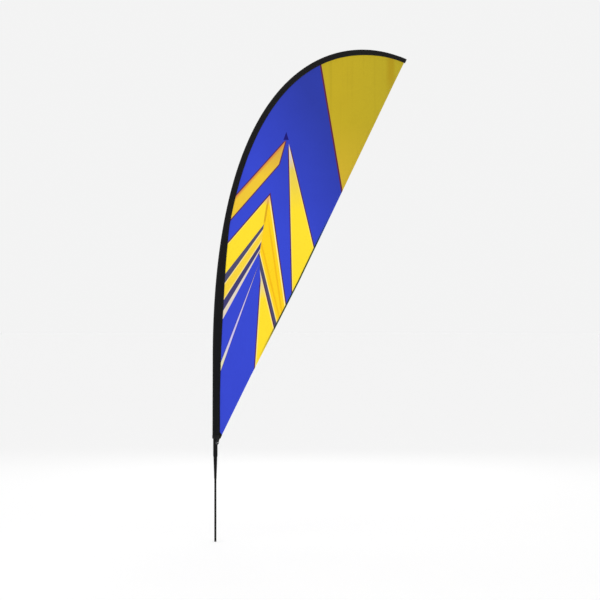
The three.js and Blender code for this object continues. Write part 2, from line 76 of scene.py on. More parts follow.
def soft_light(name, place, size, power):
    """A square area lamp at place that faces the middle of the flag."""
    lamp = bpy.data.lights.new(name, "AREA")
    lamp.size = size
    lamp.energy = power
    holder = bpy.data.objects.new(name, lamp)
    holder.location = place
    holder.rotation_euler = (FLAG_MIDDLE - Vector(place)).to_track_quat("-Z", "Y").to_euler()
    bpy.context.scene.collection.objects.link(holder)


soft_light("key_light", (-3.2, -4.2, 3.6), 2.6, 42)
soft_light("fill_light", (4.2, -4.6, 2.2), 3.0, 16)
soft_light("back_light", (0.6, 4.2, 3.4), 2.6, 30)

FLOOR_RADIUS = 60.0
disc = bmesh.new()
bmesh.ops.create_circle(disc, cap_ends=True, segments=96, radius=FLOOR_RADIUS)
floor_mesh = bpy.data.meshes.new("floor")
disc.to_mesh(floor_mesh)
disc.free()
floor = bpy.data.objects.new("floor", floor_mesh)
bpy.context.scene.collection.objects.link(floor)
floor_paint = bpy.data.materials.new("floor_paint")
floor_paint.use_nodes = True
floor_shader = floor_paint.node_tree.nodes["Principled BSDF"]
floor_shader.inputs["Base Color"].default_value = (0.9, 0.9, 0.9, 1)
floor_shader.inputs["Roughness"].default_value = 0.9
floor_shader.inputs["Emission Color"].default_value = (1.0, 1.0, 1.0, 1)
floor_shader.inputs["Emission Strength"].default_value = 0.085
floor.data.materials.append(floor_paint)

# ------------------------------------------------------------------ ground spike
# A 12 mm steel rod with a black coating, pushed into the ground. It is turned down to a 10 mm spindle
# above a shoulder, with a groove for the clip. The coating is rubbed through at the blunt end.
MM = 0.001
CLEARANCE = 0.3 * MM
CHAMFER = 1.0 * MM
ROUND_STEPS = 64
SAME_PLACE = 1e-6


class Value:
    """A socket that gives a number, colour or place. Arithmetic on a number adds Math nodes."""

    def __init__(self, finish, socket):
        self.finish = finish
        self.socket = socket

    def math(self, operation, *others):
        return self.finish.node("ShaderNodeMath", {"operation": operation}, dict(enumerate((self, *others))))

    def __add__(self, other):
        return self.math("ADD", other)

    def __sub__(self, other):
        return self.math("SUBTRACT", other)

    def __rsub__(self, other):
        return (-self).math("ADD", other)

    def __neg__(self):
        return self.math("MULTIPLY", -1.0)

    def __mul__(self, other):
        return self.math("MULTIPLY", other)

    def __truediv__(self, other):
        return self.math("DIVIDE", other)

    __radd__ = __add__
    __rmul__ = __mul__

    def clamped(self):
        return self.math("MAXIMUM", 0.0).math("MINIMUM", 1.0)


class Finish:
    """A material on one Principled shader, whose constants are given by socket name."""

    def __init__(self, name, **constants):
        self.material = bpy.data.materials.new(name)
        self.material.use_nodes = True
        self.tree = self.material.node_tree
        self.shader = self.tree.nodes["Principled BSDF"]
        for socket, value in constants.items():
            self.shader.inputs[socket.replace("_", " ")].default_value = value

    def node(self, kind, settings, inputs, output=0):
        """Adds a node, sets it up, feeds its sockets and returns one of its outputs."""
        made = self.tree.nodes.new(kind)
        for key, setting in settings.items():
            setattr(made, key, setting)
        for key, value in inputs.items():
            self.feed(made.inputs[key], value)
        return Value(self, made.outputs[output])

    def feed(self, socket, value):
        if isinstance(value, Value):
            self.tree.links.new(value.socket, socket)
        else:
            socket.default_value = value

    def shade(self, **sockets):
        for socket, value in sockets.items():
            self.feed(self.shader.inputs[socket.replace("_", " ")], value)

    def place(self, output="Object"):
        return self.node("ShaderNodeTexCoord", {}, {}, output)

    def stretched(self, where, scale):
        return self.node("ShaderNodeMapping", {}, {"Vector": where, "Scale": scale})

    def parts(self, where):
        return [self.node("ShaderNodeSeparateXYZ", {}, {"Vector": where}, axis) for axis in range(3)]

    def noise(self, where, scale, detail=3.0, roughness=0.55):
        sockets = {"Vector": where, "Scale": scale, "Detail": detail, "Roughness": roughness}
        return self.node("ShaderNodeTexNoise", {}, sockets)

    def mix(self, share, first, second, blend="MIX"):
        """A colour between two, by share."""
        settings = {"data_type": "RGBA", "blend_type": blend}
        return self.node("ShaderNodeMix", settings, {0: share, 6: first, 7: second}, 2)

    def bump(self, height, strength, distance):
        sockets = {"Strength": strength, "Distance": distance, "Height": height}
        self.shade(Normal=self.node("ShaderNodeBump", {}, sockets))


def paint(red, green, blue):
    """An sRGB colour, in 0 to 255, as the linear colour that a shader takes."""
    shares = [c / 255 for c in (red, green, blue)]
    return tuple(c / 12.92 if c < 0.04045 else ((c + 0.055) / 1.055) ** 2.4 for c in shares) + (1.0,)


def spun(profile, steps=ROUND_STEPS):
    """Turns an outline of radius and height about Z. Points on the axis close the ends."""
    bm = bmesh.new()
    verts = [bm.verts.new((r, 0, z)) for r, z in profile]
    closed = profile[0][0] > 0
    ring = verts + verts[:1] if closed else verts
    edges = [bm.edges.new(pair) for pair in zip(ring, ring[1:])]
    bmesh.ops.spin(bm, geom=verts + edges, cent=(0, 0, 0), axis=(0, 0, 1), dvec=(0, 0, 0),
                   angle=2 * math.pi, steps=steps, use_merge=True)
    bmesh.ops.remove_doubles(bm, verts=bm.verts, dist=SAME_PLACE)
    bmesh.ops.recalc_face_normals(bm, faces=bm.faces)
    return bm


def bevelled(bm, width, segments=2, least=30):
    """Rounds every edge that turns by more than least degrees."""
    sharp = [e for e in bm.edges if e.is_manifold and e.calc_face_angle() > math.radians(least)]
    bmesh.ops.bevel(bm, geom=sharp, offset=width, offset_type="OFFSET", affect="EDGES",
                    segments=segments, profile=0.5, material=-1, clamp_overlap=True)
    return bm


def piece(name, bm, body, finish, nodes=(), sharp=35):
    """Makes an object of a bmesh, in the material finish, that rides on a body."""
    for f in bm.faces:
        f.smooth = True
    for e in bm.edges:
        if e.is_manifold and e.calc_face_angle() > math.radians(sharp):
            e.smooth = False
    mesh = bpy.data.meshes.new(name)
    bm.to_mesh(mesh)
    bm.free()
    made = bpy.data.objects.new(name, mesh)
    bpy.context.scene.collection.objects.link(made)
    mesh.materials.append(finish.material)
    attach(made, body)
    if nodes:
        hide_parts(*nodes)
    return made


def coated_steel():
    finish = Finish("coated_steel", Specular_IOR_Level=0.1)
    where = finish.place()
    height = finish.parts(where)[2]
    cloud = finish.noise(where, 90.0, 4.0)
    scratches = finish.noise(finish.stretched(where, (900.0, 900.0, 25.0)), 1.0, 2.0)
    scored = ((scratches - 0.6) * 7.0 - height * 9.0 + 0.6).clamped()
    rubbed = ((cloud - 0.45) * 5.0 - height * 150.0 + 1.0).math("MAXIMUM", scored * 0.5).clamped()
    coat = finish.mix(cloud, paint(8, 8, 9), paint(16, 16, 17))
    finish.shade(Base_Color=finish.mix(rubbed, coat, paint(98, 96, 93)))
    finish.shade(Metallic=rubbed * 0.9, Roughness=0.38 + scratches * 0.22 + cloud * 0.08)
    finish.bump(scratches + cloud * 2.0, 0.12, 0.0003)
    return finish


spike_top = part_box("ground_spike")[1]
clip_low, clip_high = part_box("spindle_clip")
SHANK_R = spike_top.x
SPINDLE_R = SHANK_R - 1.0 * MM
SHOULDER_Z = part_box("thrust_washer")[0].z - CLEARANCE
FOOT_CHAMFER = 1.5 * MM
GROOVE_R = SPINDLE_R - 0.9 * MM
GROOVE_FOOT, GROOVE_TOP = clip_low.z - CLEARANCE, clip_high.z + CLEARANCE
SHADING_RINGS = (0.11, 0.23)

black_steel = coated_steel()
outline = [(0, 0), (SHANK_R - FOOT_CHAMFER, 0), (SHANK_R, FOOT_CHAMFER)]
# Two plain rings on the long shank keep its smooth shading even.
outline += [(SHANK_R, z) for z in (*SHADING_RINGS, SHOULDER_Z)]
outline += [(SPINDLE_R, SHOULDER_Z), (SPINDLE_R, GROOVE_FOOT), (GROOVE_R, GROOVE_FOOT)]
outline += [(GROOVE_R, GROOVE_TOP), (SPINDLE_R, GROOVE_TOP), (SPINDLE_R, spike_top.z - CHAMFER)]
outline += [(SPINDLE_R - CHAMFER, spike_top.z), (0, spike_top.z)]
turned = bevelled(spun(outline), 0.25 * MM)
piece("steel_spike", turned, "spike", black_steel, ["ground_spike"])

# ------------------------------------------------------------------ washer, clip and bushes
# Oiled bronze washers and bushes carry the rotor, and a sprung steel C clip keeps it on the spindle.
# They are stock parts, pressed or slipped into place.


def oiled_bronze():
    finish = Finish("oiled_bronze", Metallic=1.0)
    where = finish.place()
    pores = finish.noise(where, 1400.0, 2.0)
    stain = finish.noise(where, 120.0, 3.0)
    finish.shade(Base_Color=finish.mix(stain, paint(150, 106, 60), paint(190, 146, 88)))
    finish.shade(Roughness=0.3 + stain * 0.3)
    finish.bump(pores, 0.2, 0.0002)
    return finish


def plated_steel(name, dull, clean):
    finish = Finish(name, Metallic=1.0)
    where = finish.place()
    haze = finish.noise(where, 260.0, 4.0)
    finish.shade(Base_Color=finish.mix(haze, dull, clean))
    finish.shade(Roughness=0.16 + haze * 0.18)
    finish.bump(haze, 0.08, 0.0002)
    return finish


def ring_outline(node, bore):
    """The outline of a plain ring that fills a node's box, with the given bore."""
    low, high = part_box(node)
    return [(bore, low.z), (high.x, low.z), (high.x, high.z), (bore, high.z)]


bronze = oiled_bronze()
bright = plated_steel("plated_steel", paint(176, 178, 182), paint(214, 215, 218))
BUSH_BORE = SPINDLE_R + CLEARANCE
washer = bevelled(spun(ring_outline("thrust_washer", BUSH_BORE)), 0.2 * MM)
piece("bronze_washer", washer, "spike", bronze, ["thrust_washer"])
low_bush = bevelled(spun(ring_outline("lower_bush", BUSH_BORE)), 0.3 * MM)
piece("bronze_bush_low", low_bush, "rotor", bronze, ["lower_bush"])

bush_low, bush_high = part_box("upper_bush")
BUSH_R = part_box("lower_bush")[1].x
BUSH_FLANGE_Z = bush_high.z - 1.5 * MM
flanged = [
    (BUSH_BORE, bush_low.z), (BUSH_R, bush_low.z), (BUSH_R, BUSH_FLANGE_Z),
    (bush_high.x, BUSH_FLANGE_Z), (bush_high.x, bush_high.z), (BUSH_BORE, bush_high.z),
]
piece("bronze_bush_top", bevelled(spun(flanged), 0.25 * MM), "rotor", bronze, ["upper_bush"])

CLIP_MOUTH = math.radians(72)
CLIP_R = clip_high.y
CLIP_BORE = GROOVE_R + CLEARANCE
CLIP_STEPS = 40
clip = bmesh.new()
corners = [(CLIP_BORE, clip_low.z), (CLIP_R, clip_low.z), (CLIP_R, clip_high.z), (CLIP_BORE, clip_high.z)]
section = clip.faces.new([clip.verts.new((r, 0, z)) for r, z in corners])
bmesh.ops.rotate(clip, verts=clip.verts, matrix=Matrix.Rotation(CLIP_MOUTH / 2, 3, "Z"))
bmesh.ops.spin(clip, geom=[section], cent=(0, 0, 0), axis=(0, 0, 1), dvec=(0, 0, 0),
               angle=2 * math.pi - CLIP_MOUTH, steps=CLIP_STEPS, use_merge=False)
bmesh.ops.holes_fill(clip, edges=[e for e in clip.edges if e.is_boundary])
bmesh.ops.remove_doubles(clip, verts=clip.verts, dist=SAME_PLACE)
bmesh.ops.recalc_face_normals(clip, faces=clip.faces)
piece("spring_clip", bevelled(clip, 0.15 * MM), "spike", bright, ["spindle_clip"])

# ------------------------------------------------------------------ rotor hub, boot and O-rings
# The hub is one nylon moulding: a cone, a flange that the pole stands on and a spigot that fills its
# bore. Two rubber rings grip the tube, and a ribbed rubber boot below wipes dirt off the rod.
hub_low, hub_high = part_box("rotor_hub")
boot_low, boot_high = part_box("dust_boot")
tube_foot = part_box("base_tube")[0]
o_rings = {node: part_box(node) for node in ("lower_o_ring", "upper_o_ring")}
TUBE_R = -tube_foot.x
TUBE_BORE = TUBE_R - 2.0 * MM
HUB_BORE = BUSH_R + CLEARANCE
SKIRT_BORE = SHANK_R + CLEARANCE
FLANGE_HEIGHT = 3.0 * MM
FLANGE_TOP = tube_foot.z - CLEARANCE
FLANGE_Z = FLANGE_TOP - FLANGE_HEIGHT
FILLET_LENGTH = 2.0 * MM
FILLET_REACH = 0.6 * MM
NECK_LENGTH = 14.0 * MM
SPIGOT_R = TUBE_BORE - 0.8 * MM
GROOVE_FLOOR = SPIGOT_R - 1.7 * MM
O_RING_R = 0.95 * MM


def moulded(name, dark, light, bump):
    finish = Finish(name, Specular_IOR_Level=0.1)
    where = finish.place()
    grain = finish.noise(where, 1600.0, 2.0)
    scuffs = finish.noise(finish.stretched(where, (60.0, 60.0, 220.0)), 1.0, 5.0, 0.65)
    finish.shade(Base_Color=finish.mix(((scuffs - 0.5) * 3.0).clamped(), dark, light))
    finish.shade(Roughness=0.42 + scuffs * 0.26)
    finish.bump(grain + scuffs, bump, 0.0003)
    return finish


nylon = moulded("black_nylon", paint(13, 13, 14), paint(28, 28, 29), 0.18)
rubber = moulded("black_rubber", paint(12, 12, 12), paint(26, 25, 24), 0.35)

hub = [(SKIRT_BORE, hub_low.z), (boot_high.x, hub_low.z), (TUBE_BORE, FLANGE_Z - NECK_LENGTH)]
hub += [(TUBE_BORE, FLANGE_Z - FILLET_LENGTH), (TUBE_BORE + FILLET_REACH, FLANGE_Z)]
hub += [(hub_high.x, FLANGE_Z), (hub_high.x, FLANGE_TOP), (SPIGOT_R, FLANGE_TOP)]
for low, high in o_rings.values():
    foot, top = low.z - CLEARANCE, high.z + CLEARANCE
    hub += [(SPIGOT_R, foot), (GROOVE_FLOOR, foot), (GROOVE_FLOOR, top), (SPIGOT_R, top)]
hub += [(SPIGOT_R, hub_high.z - CHAMFER), (SPIGOT_R - CHAMFER, hub_high.z), (HUB_BORE, hub_high.z)]
hub += [(HUB_BORE, SHOULDER_Z), (SKIRT_BORE, SHOULDER_Z)]
piece("nylon_hub", bevelled(spun(hub), 0.3 * MM), "rotor", nylon, ["rotor_hub"])

RIB_COUNT = 5
RIB_DEPTH = 0.35 * MM
RIB_POINTS = 8
BOOT_FOOT_R = SKIRT_BORE + 0.6 * MM
boot = [(SKIRT_BORE, boot_low.z)]
for step in range(RIB_COUNT * RIB_POINTS + 1):
    share = step / (RIB_COUNT * RIB_POINTS)
    wave = 0.5 - 0.5 * math.cos(2 * math.pi * share * RIB_COUNT)
    r = BOOT_FOOT_R + (boot_high.x - BOOT_FOOT_R) * share + RIB_DEPTH * wave * share
    boot.append((r, boot_low.z + (boot_high.z - boot_low.z) * share))
boot.append((SKIRT_BORE, boot_high.z))
piece("rubber_boot", spun(boot), "rotor", rubber, ["dust_boot"])

turns = [2 * math.pi * k / 16 for k in range(16)]
for node, (low, high) in o_rings.items():
    centre_r, middle = high.x - O_RING_R, (low.z + high.z) / 2
    round_section = [(centre_r + O_RING_R * math.cos(a), middle + O_RING_R * math.sin(a)) for a in turns]
    piece("rubber_" + node, spun(round_section), "rotor", rubber, [node])

# ------------------------------------------------------------------ pole
# A straight aluminium tube at the foot, then glass fibre sections that slide into each other down to
# stop collars, and a tapered solid rod at the tip. The cloth bends them into the bow when it's raised.
BOW_START = 1.028
TIP = Vector((1.0675, 0.0, 2.6916))
TIP_TURN = math.radians(114.65)
UP_PULL = 0.993
BACK_PULL = 0.398
BOW_SAMPLES = 1600

bow_points = [
    Vector((0, 0, BOW_START)),
    Vector((0, 0, BOW_START + (TIP.z - BOW_START) * UP_PULL)),
    TIP - Vector((math.sin(TIP_TURN), 0, math.cos(TIP_TURN))) * TIP.x * BACK_PULL,
    TIP,
]


def bow_at(t):
    """A place on the bow, which is one Bezier curve: t is 0 at its start and 1 at the tip."""
    a, b, c, d = bow_points
    return a * (1 - t) ** 3 + b * 3 * t * (1 - t) ** 2 + c * 3 * t * t * (1 - t) + d * t ** 3


def bow_slope(t):
    a, b, c, d = bow_points
    return ((b - a) * (1 - t) ** 2 + (c - b) * 2 * t * (1 - t) + (d - c) * t * t).normalized()


bow_lengths = [0.0]
for k in range(BOW_SAMPLES):
    step = bow_at((k + 1) / BOW_SAMPLES) - bow_at(k / BOW_SAMPLES)
    bow_lengths.append(bow_lengths[-1] + step.length)
POLE_END = BOW_START + bow_lengths[-1]


def pole_frame(s):
    """The pole's centre at length s from the spike's end, its direction, and the way to the flag."""
    if s <= BOW_START:
        return Vector((0, 0, s)), Vector((0, 0, 1)), Vector((1, 0, 0))
    along = min(s - BOW_START, bow_lengths[-1])
    k = min(max(bisect_left(bow_lengths, along), 1), BOW_SAMPLES)
    share = (along - bow_lengths[k - 1]) / (bow_lengths[k] - bow_lengths[k - 1])
    t = (k - 1 + share) / BOW_SAMPLES
    slope = bow_slope(t)
    centre = bow_at(t) + slope * max(s - POLE_END, 0)
    return centre, slope, Vector((slope.z, 0, -slope.x))


def bent(bm):
    """Moves a piece that is drawn straight, with z as the length along the pole, onto the bow."""
    for v in bm.verts:
        centre, _, inward = pole_frame(v.co.z)
        v.co = centre + inward * v.co.x + Vector((0, v.co.y, 0))
    return bm


RING_SPACING = 15.0 * MM


def levels(low, high):
    """Evenly spaced lengths along the pole, close enough for it to bend smoothly."""
    count = max(1, math.ceil((high - low) / RING_SPACING))
    return [low + (high - low) * k / count for k in range(count + 1)]


def drawn_tube(name, dark, light, metal):
    finish = Finish(name, Metallic=metal, Specular_IOR_Level=0.1)
    where = finish.place()
    lines = finish.noise(finish.stretched(where, (1300.0, 1300.0, 9.0)), 1.0, 3.0)
    cloud = finish.noise(where, 24.0, 4.0)
    finish.shade(Base_Color=finish.mix(lines, dark, light))
    finish.shade(Roughness=0.26 + lines * 0.16 + cloud * 0.12)
    finish.bump(lines, 0.1, 0.0002)
    return finish


anodised = drawn_tube("black_anodised", paint(10, 10, 11), paint(24, 24, 26), 0.25)
glass_fibre = drawn_tube("glass_fibre", paint(14, 14, 14), paint(32, 31, 29), 0.0)

SECTION_WALL = 1.7 * MM
OVERLAP = 90.0 * MM
FOOT_Z = tube_foot.z
BASE_SECTION = 0.7
SECTION = 0.69
TUBE_STEPS = 40
ROD_STEPS = 32
MIDDLE_R = TUBE_BORE - CLEARANCE
UPPER_R = MIDDLE_R - SECTION_WALL - CLEARANCE
ROD_R = UPPER_R - SECTION_WALL - CLEARANCE
ROD_END_R = 3.25 * MM
CAP_TOP = POLE_END - 9.5 * MM
CAP_LENGTH = 18.0 * MM
ROD_TOP = CAP_TOP - 2.5 * MM
mouths = [FOOT_Z - CLEARANCE + BASE_SECTION + SECTION * k for k in range(3)]


def tube(outer_r, bore_r, foot, top):
    heights = levels(foot, top)
    outline = [(outer_r, z) for z in heights] + [(bore_r, z) for z in reversed(heights)]
    return bent(bevelled(spun(outline, TUBE_STEPS), 0.3 * MM, least=60))


foot_tube = tube(TUBE_R, TUBE_BORE, FOOT_Z, mouths[0])
piece("foot_tube", foot_tube, "pole", anodised, ["base_tube"])
sections = (("second_section", "middle_tube", MIDDLE_R), ("third_section", "upper_tube", UPPER_R))
for k, (name, node, r) in enumerate(sections):
    made = tube(r, r - SECTION_WALL, mouths[k] - OVERLAP, mouths[k + 1])
    piece(name, made, "pole", glass_fibre, [node])

ROD_FOOT = mouths[2] - OVERLAP
rod = [(0, ROD_FOOT)]
for z in levels(ROD_FOOT, ROD_TOP):
    share = min(max((z - mouths[2]) / (ROD_TOP - mouths[2]), 0), 1)
    rod.append((ROD_R + (ROD_END_R - ROD_R) * share, z))
rod.append((0, ROD_TOP))
piece("taper_rod", bent(spun(rod, ROD_STEPS)), "pole", glass_fibre, ["tip_rod"])

COLLAR_HEIGHT = 12.0 * MM
COLLAR_RIM = 2.0 * MM
collars = (("middle_collar", MIDDLE_R), ("upper_collar", UPPER_R), ("tip_collar", ROD_R))
for (node, r), mouth in zip(collars, mouths):
    foot = mouth + CLEARANCE
    outline = [(r + CLEARANCE, foot)]
    outline += [(r + COLLAR_RIM, foot + COLLAR_HEIGHT * share) for share in (0, 0.5, 1)]
    outline.append((r + CLEARANCE, foot + COLLAR_HEIGHT))
    made = bent(bevelled(spun(outline, TUBE_STEPS), 0.4 * MM))
    piece("stop_" + node, made, "pole", bright, [node])

CAP_R = ROD_END_R + 1.7 * MM
CAP_BORE = ROD_END_R + 0.35 * MM
CAP_ROUND = 4.0 * MM
CAP_SHOULDER = CAP_TOP - CAP_ROUND
cap = [(0, ROD_TOP + CLEARANCE), (CAP_BORE, ROD_TOP + CLEARANCE), (CAP_BORE, CAP_TOP - CAP_LENGTH)]
cap += [(CAP_R, CAP_TOP - CAP_LENGTH), (CAP_R, CAP_SHOULDER)]
cap += [(CAP_R * math.cos(a), CAP_SHOULDER + CAP_ROUND * math.sin(a)) for a in (0.4, 0.8, 1.2)]
cap.append((0, CAP_TOP))
piece("end_cap", bent(spun(cap, ROD_STEPS)), "pole", nylon, ["tip_cap"])

# ------------------------------------------------------------------ hook peg and its washer
# A black nylon mushroom peg, riveted through the foot tube over a steel washer inside it. The flag's
# tension ring hooks under its head.
peg_low, peg_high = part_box("hook_peg")
HOOK_Z = (peg_low.z + peg_high.z) / 2
HOOK_TURN = math.radians(-40)


def across(bm):
    """Turns a piece that was spun about Z to point out of the tube at the hook."""
    turn = Matrix.Rotation(HOOK_TURN, 4, "Z") @ Matrix.Translation((0, 0, HOOK_Z))
    bmesh.ops.transform(bm, matrix=turn @ Matrix.Rotation(math.pi / 2, 4, "Y"), verts=bm.verts)
    return bm


SHAFT_R = 2.0 * MM
NECK_R = 3.0 * MM
NECK_FLARE = 1.0 * MM
HEAD_R = 5.0 * MM
HEAD_RIM = 1.0 * MM
HEAD_DOME = 2.0 * MM
WIRE_R = 1.5 * MM
WEB = 1.2 * MM
SEAT_OUT = TUBE_R + CLEARANCE
RING_OUT = SEAT_OUT + WIRE_R + CLEARANCE + WEB
HEAD_OUT = RING_OUT + WIRE_R + CLEARANCE
WASHER_R = 4.2 * MM
WASHER_BORE = SHAFT_R + CLEARANCE
WASHER_OUT = math.sqrt(TUBE_BORE ** 2 - WASHER_R ** 2) - CLEARANCE
WASHER_IN = WASHER_OUT - 1.2 * MM
RIVET_R = 3.0 * MM
RIVET_OUT = WASHER_IN - CLEARANCE
RIVET_IN = RIVET_OUT - 1.0 * MM
peg = [(0, RIVET_IN), (RIVET_R, RIVET_IN), (RIVET_R, RIVET_OUT), (SHAFT_R, RIVET_OUT), (SHAFT_R, SEAT_OUT)]
peg += [(NECK_R + NECK_FLARE, SEAT_OUT), (NECK_R, SEAT_OUT + NECK_FLARE), (NECK_R, HEAD_OUT)]
peg += [(HEAD_R, HEAD_OUT), (HEAD_R, HEAD_OUT + HEAD_RIM)]
for a in (0.35, 0.7, 1.05, 1.35):
    peg.append((HEAD_R * math.cos(a), HEAD_OUT + HEAD_RIM + HEAD_DOME * math.sin(a)))
peg.append((0, HEAD_OUT + HEAD_RIM + HEAD_DOME))
mushroom = across(bevelled(spun(peg, TUBE_STEPS), 0.2 * MM, least=50))
piece("nylon_peg", mushroom, "pole", nylon, ["hook_peg"])
inner = [(WASHER_BORE, WASHER_IN), (WASHER_R, WASHER_IN), (WASHER_R, WASHER_OUT), (WASHER_BORE, WASHER_OUT)]
inner_washer = across(bevelled(spun(inner, TUBE_STEPS), 0.2 * MM))
piece("peg_washer", inner_washer, "pole", bright, ["hook_washer"])

# ------------------------------------------------------------------ tension ring
# A D of 3 mm wire, whose nickel plating has dulled outdoors. Its straight bar sits in the webbing's
# loop and its bow hooks over the peg, so the webbing pulls the flag down and keeps the pole bent.
RING_HALF = 11.5 * MM
wire_low, wire_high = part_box("strap_ring")
BAR_Z = wire_high.z - WIRE_R
RING_DROP = BAR_Z - wire_low.z - WIRE_R
HOOP_POINTS = 60
BAR_POINTS = 36
CORNER_PASSES = 5


def sheet_of(columns, rows, place, around=False, size=(1.0, 1.0)):
    """A grid of cloth or wire. place(u, v) puts each point, with u across and v along, from 0 to 1."""
    bm = bmesh.new()
    bmesh.ops.create_grid(bm, x_segments=columns, y_segments=rows, size=0.5)
    uv = bm.loops.layers.uv.new("cloth")
    spots = {v: (v.co.x + 0.5, v.co.y + 0.5) for v in bm.verts}
    for f in bm.faces:
        for loop in f.loops:
            u, v = spots[loop.vert]
            loop[uv].uv = (u * size[0], v * size[1])
    for vert, (u, v) in spots.items():
        vert.co = place(u, v)
    if around:
        bmesh.ops.remove_doubles(bm, verts=bm.verts, dist=SAME_PLACE)
    bmesh.ops.recalc_face_normals(bm, faces=bm.faces)
    return bm


def out_of_tube(out, sideways, z):
    """A point given out of the tube and across it, at the hook's side."""
    return Matrix.Rotation(HOOK_TURN, 3, "Z") @ Vector((out, sideways, z))


ring_path = []
for k in range(HOOP_POINTS):
    angle = math.pi + math.pi * k / HOOP_POINTS
    ring_path.append(Vector((RING_HALF * math.cos(angle), BAR_Z + RING_DROP * math.sin(angle))))
ring_path += [Vector((RING_HALF - 2 * RING_HALF * k / BAR_POINTS, BAR_Z)) for k in range(BAR_POINTS)]
for _ in range(CORNER_PASSES):
    around = zip(ring_path[-1:] + ring_path[:-1], ring_path, ring_path[1:] + ring_path[:1])
    ring_path = [(a + b * 2 + c) / 4 for a, b, c in around]


def ring_wire(u, v):
    count = len(ring_path)
    k = round(v * count) % count
    ahead = (ring_path[(k + 1) % count] - ring_path[k - 1]).normalized()
    side = Vector((-ahead.y, ahead.x)) * WIRE_R * math.cos(2 * math.pi * u)
    spot = ring_path[k] + side
    return out_of_tube(RING_OUT + WIRE_R * math.sin(2 * math.pi * u), spot.x, spot.y)


wire = sheet_of(14, len(ring_path), ring_wire, around=True)
weathered = plated_steel("weathered_plate", paint(92, 93, 96), paint(136, 137, 140))
piece("d_ring", wire, "pole", weathered, ["strap_ring"])

# ------------------------------------------------------------------ tension strap
# Black elastic webbing, folded round the ring's bar and stitched to itself. It widens to the edge that
# is sewn into the sleeve's mouth.
STRAP_HALF = 8.5 * MM
STRAP_FLARE = 11.5 * MM
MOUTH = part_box("sleeve_binding")[0].z
STRAP_TOP = MOUTH + 3.0 * MM
WEB_HALF = 0.55 * MM
LAYER_OUT = WEB_HALF + 0.1 * MM
LOOP_R = WIRE_R + CLEARANCE + WEB / 2
LOOP_TURN = 0.35
LOOP_OUT = LOOP_R * 0.94
PINCH_LENGTH = 5.0 * MM
SET_BACK = 1.3 * MM
SET_BACK_LENGTH = 8.0 * MM


def webbing():
    finish = Finish("black_webbing", Sheen_Weight=0.06, Sheen_Roughness=0.4, Specular_IOR_Level=0.15)
    across_way, along_way, _ = finish.parts(finish.place("UV"))
    ribs = (across_way * (2 * math.pi / 0.0014)).math("SINE")
    picks = (along_way * (2 * math.pi / 0.0009)).math("SINE")
    fuzz = finish.noise(finish.place(), 2400.0, 2.0)
    worn = finish.noise(finish.place(), 70.0, 3.0)
    rubbed = (ribs * 0.25 + worn * 0.7).clamped()
    finish.shade(Base_Color=finish.mix(rubbed, paint(10, 10, 11), paint(36, 36, 38)))
    finish.shade(Roughness=0.72 + worn * 0.2)
    finish.bump(ribs + picks * 0.5 + fuzz * 0.6, 0.55, 0.0004)
    return finish


web_cloth = webbing()
loop_arc = LOOP_R * (math.pi + 2 * LOOP_TURN)
leg = STRAP_TOP - BAR_Z - LOOP_R * 0.8
web_length = 2 * leg + loop_arc


def strap_spot(u, v):
    """Down the outer layer, round the bar and back up the inner layer."""
    along = v * web_length
    from_end = min(along, web_length - along)
    if from_end < leg:
        spread = (1 - min((leg - from_end) / PINCH_LENGTH, 1)) ** 2
        out = LAYER_OUT + (LOOP_OUT - LAYER_OUT) * spread
        out *= 1 if along < leg else -1
        z = STRAP_TOP - from_end
    else:
        angle = LOOP_TURN - (along - leg) / LOOP_R
        out, z = LOOP_R * math.cos(angle), BAR_Z + LOOP_R * math.sin(angle)
    out -= SET_BACK * max(min((z - MOUTH) / SET_BACK_LENGTH + 1, 1), 0) ** 2
    sideways = (u * 2 - 1) * STRAP_HALF
    if sideways > 0:
        climb = min(max((z - BAR_Z) / (MOUTH - BAR_Z), 0), 1)
        sideways += STRAP_FLARE * climb * sideways / STRAP_HALF
    return out_of_tube(RING_OUT + out, sideways, z)


def thickened(made, thickness, level=0):
    """Gives a sheet its cloth's thickness, after smoothing it level times."""
    if level:
        smooth = made.modifiers.new("smooth", "SUBSURF")
        smooth.levels = level
        smooth.render_levels = level
    solid = made.modifiers.new("thickness", "SOLIDIFY")
    solid.thickness = thickness
    solid.offset = 0.0


strap_bm = sheet_of(28, 90, strap_spot, size=(0.024, web_length))
strap = piece("elastic_strap", strap_bm, "pole", web_cloth, ["tension_strap"])
thickened(strap, 1.0 * MM)

# ------------------------------------------------------------------ pole sleeve
# A tube of black polyester, sewn shut along a flat seam that also holds the printed panel. The seam
# stands off further where the pole starts to bow, and the cloth puckers a little along it.
MOUTH_NOSE = 16.4 * MM
TIP_NOSE = 9.45 * MM
MOUTH_TAIL = 26.0 * MM
UPPER_TAIL = 21.5 * MM
TIP_TAIL = 14.0 * MM
BELLY = 11.5 * MM
BELLY_AT = 0.752
BELLY_BEFORE = 0.6
BELLY_AFTER = 0.48
TAIL_STEP_AT = 1.072
TAIL_STEP_LENGTH = 0.15
TIP_NARROWING = 0.3
SEAM_WIDTH = 8.0 * MM
SEAM_HALF = 1.0 * MM
BINDING_TOP = MOUTH + 18.0 * MM
POCKET_FOOT = POLE_END - 42.0 * MM
CLOTH_COLUMNS = 44


def eased(value, low, high):
    """From 0 at low to 1 at high, level at both."""
    share = min(max((value - low) / (high - low), 0), 1)
    return share * share * (3 - 2 * share)


def nose_at(s):
    """The cloth's radius round the front of the pole."""
    return MOUTH_NOSE + (TIP_NOSE - MOUTH_NOSE) * (s - MOUTH) / (POLE_END - MOUTH)


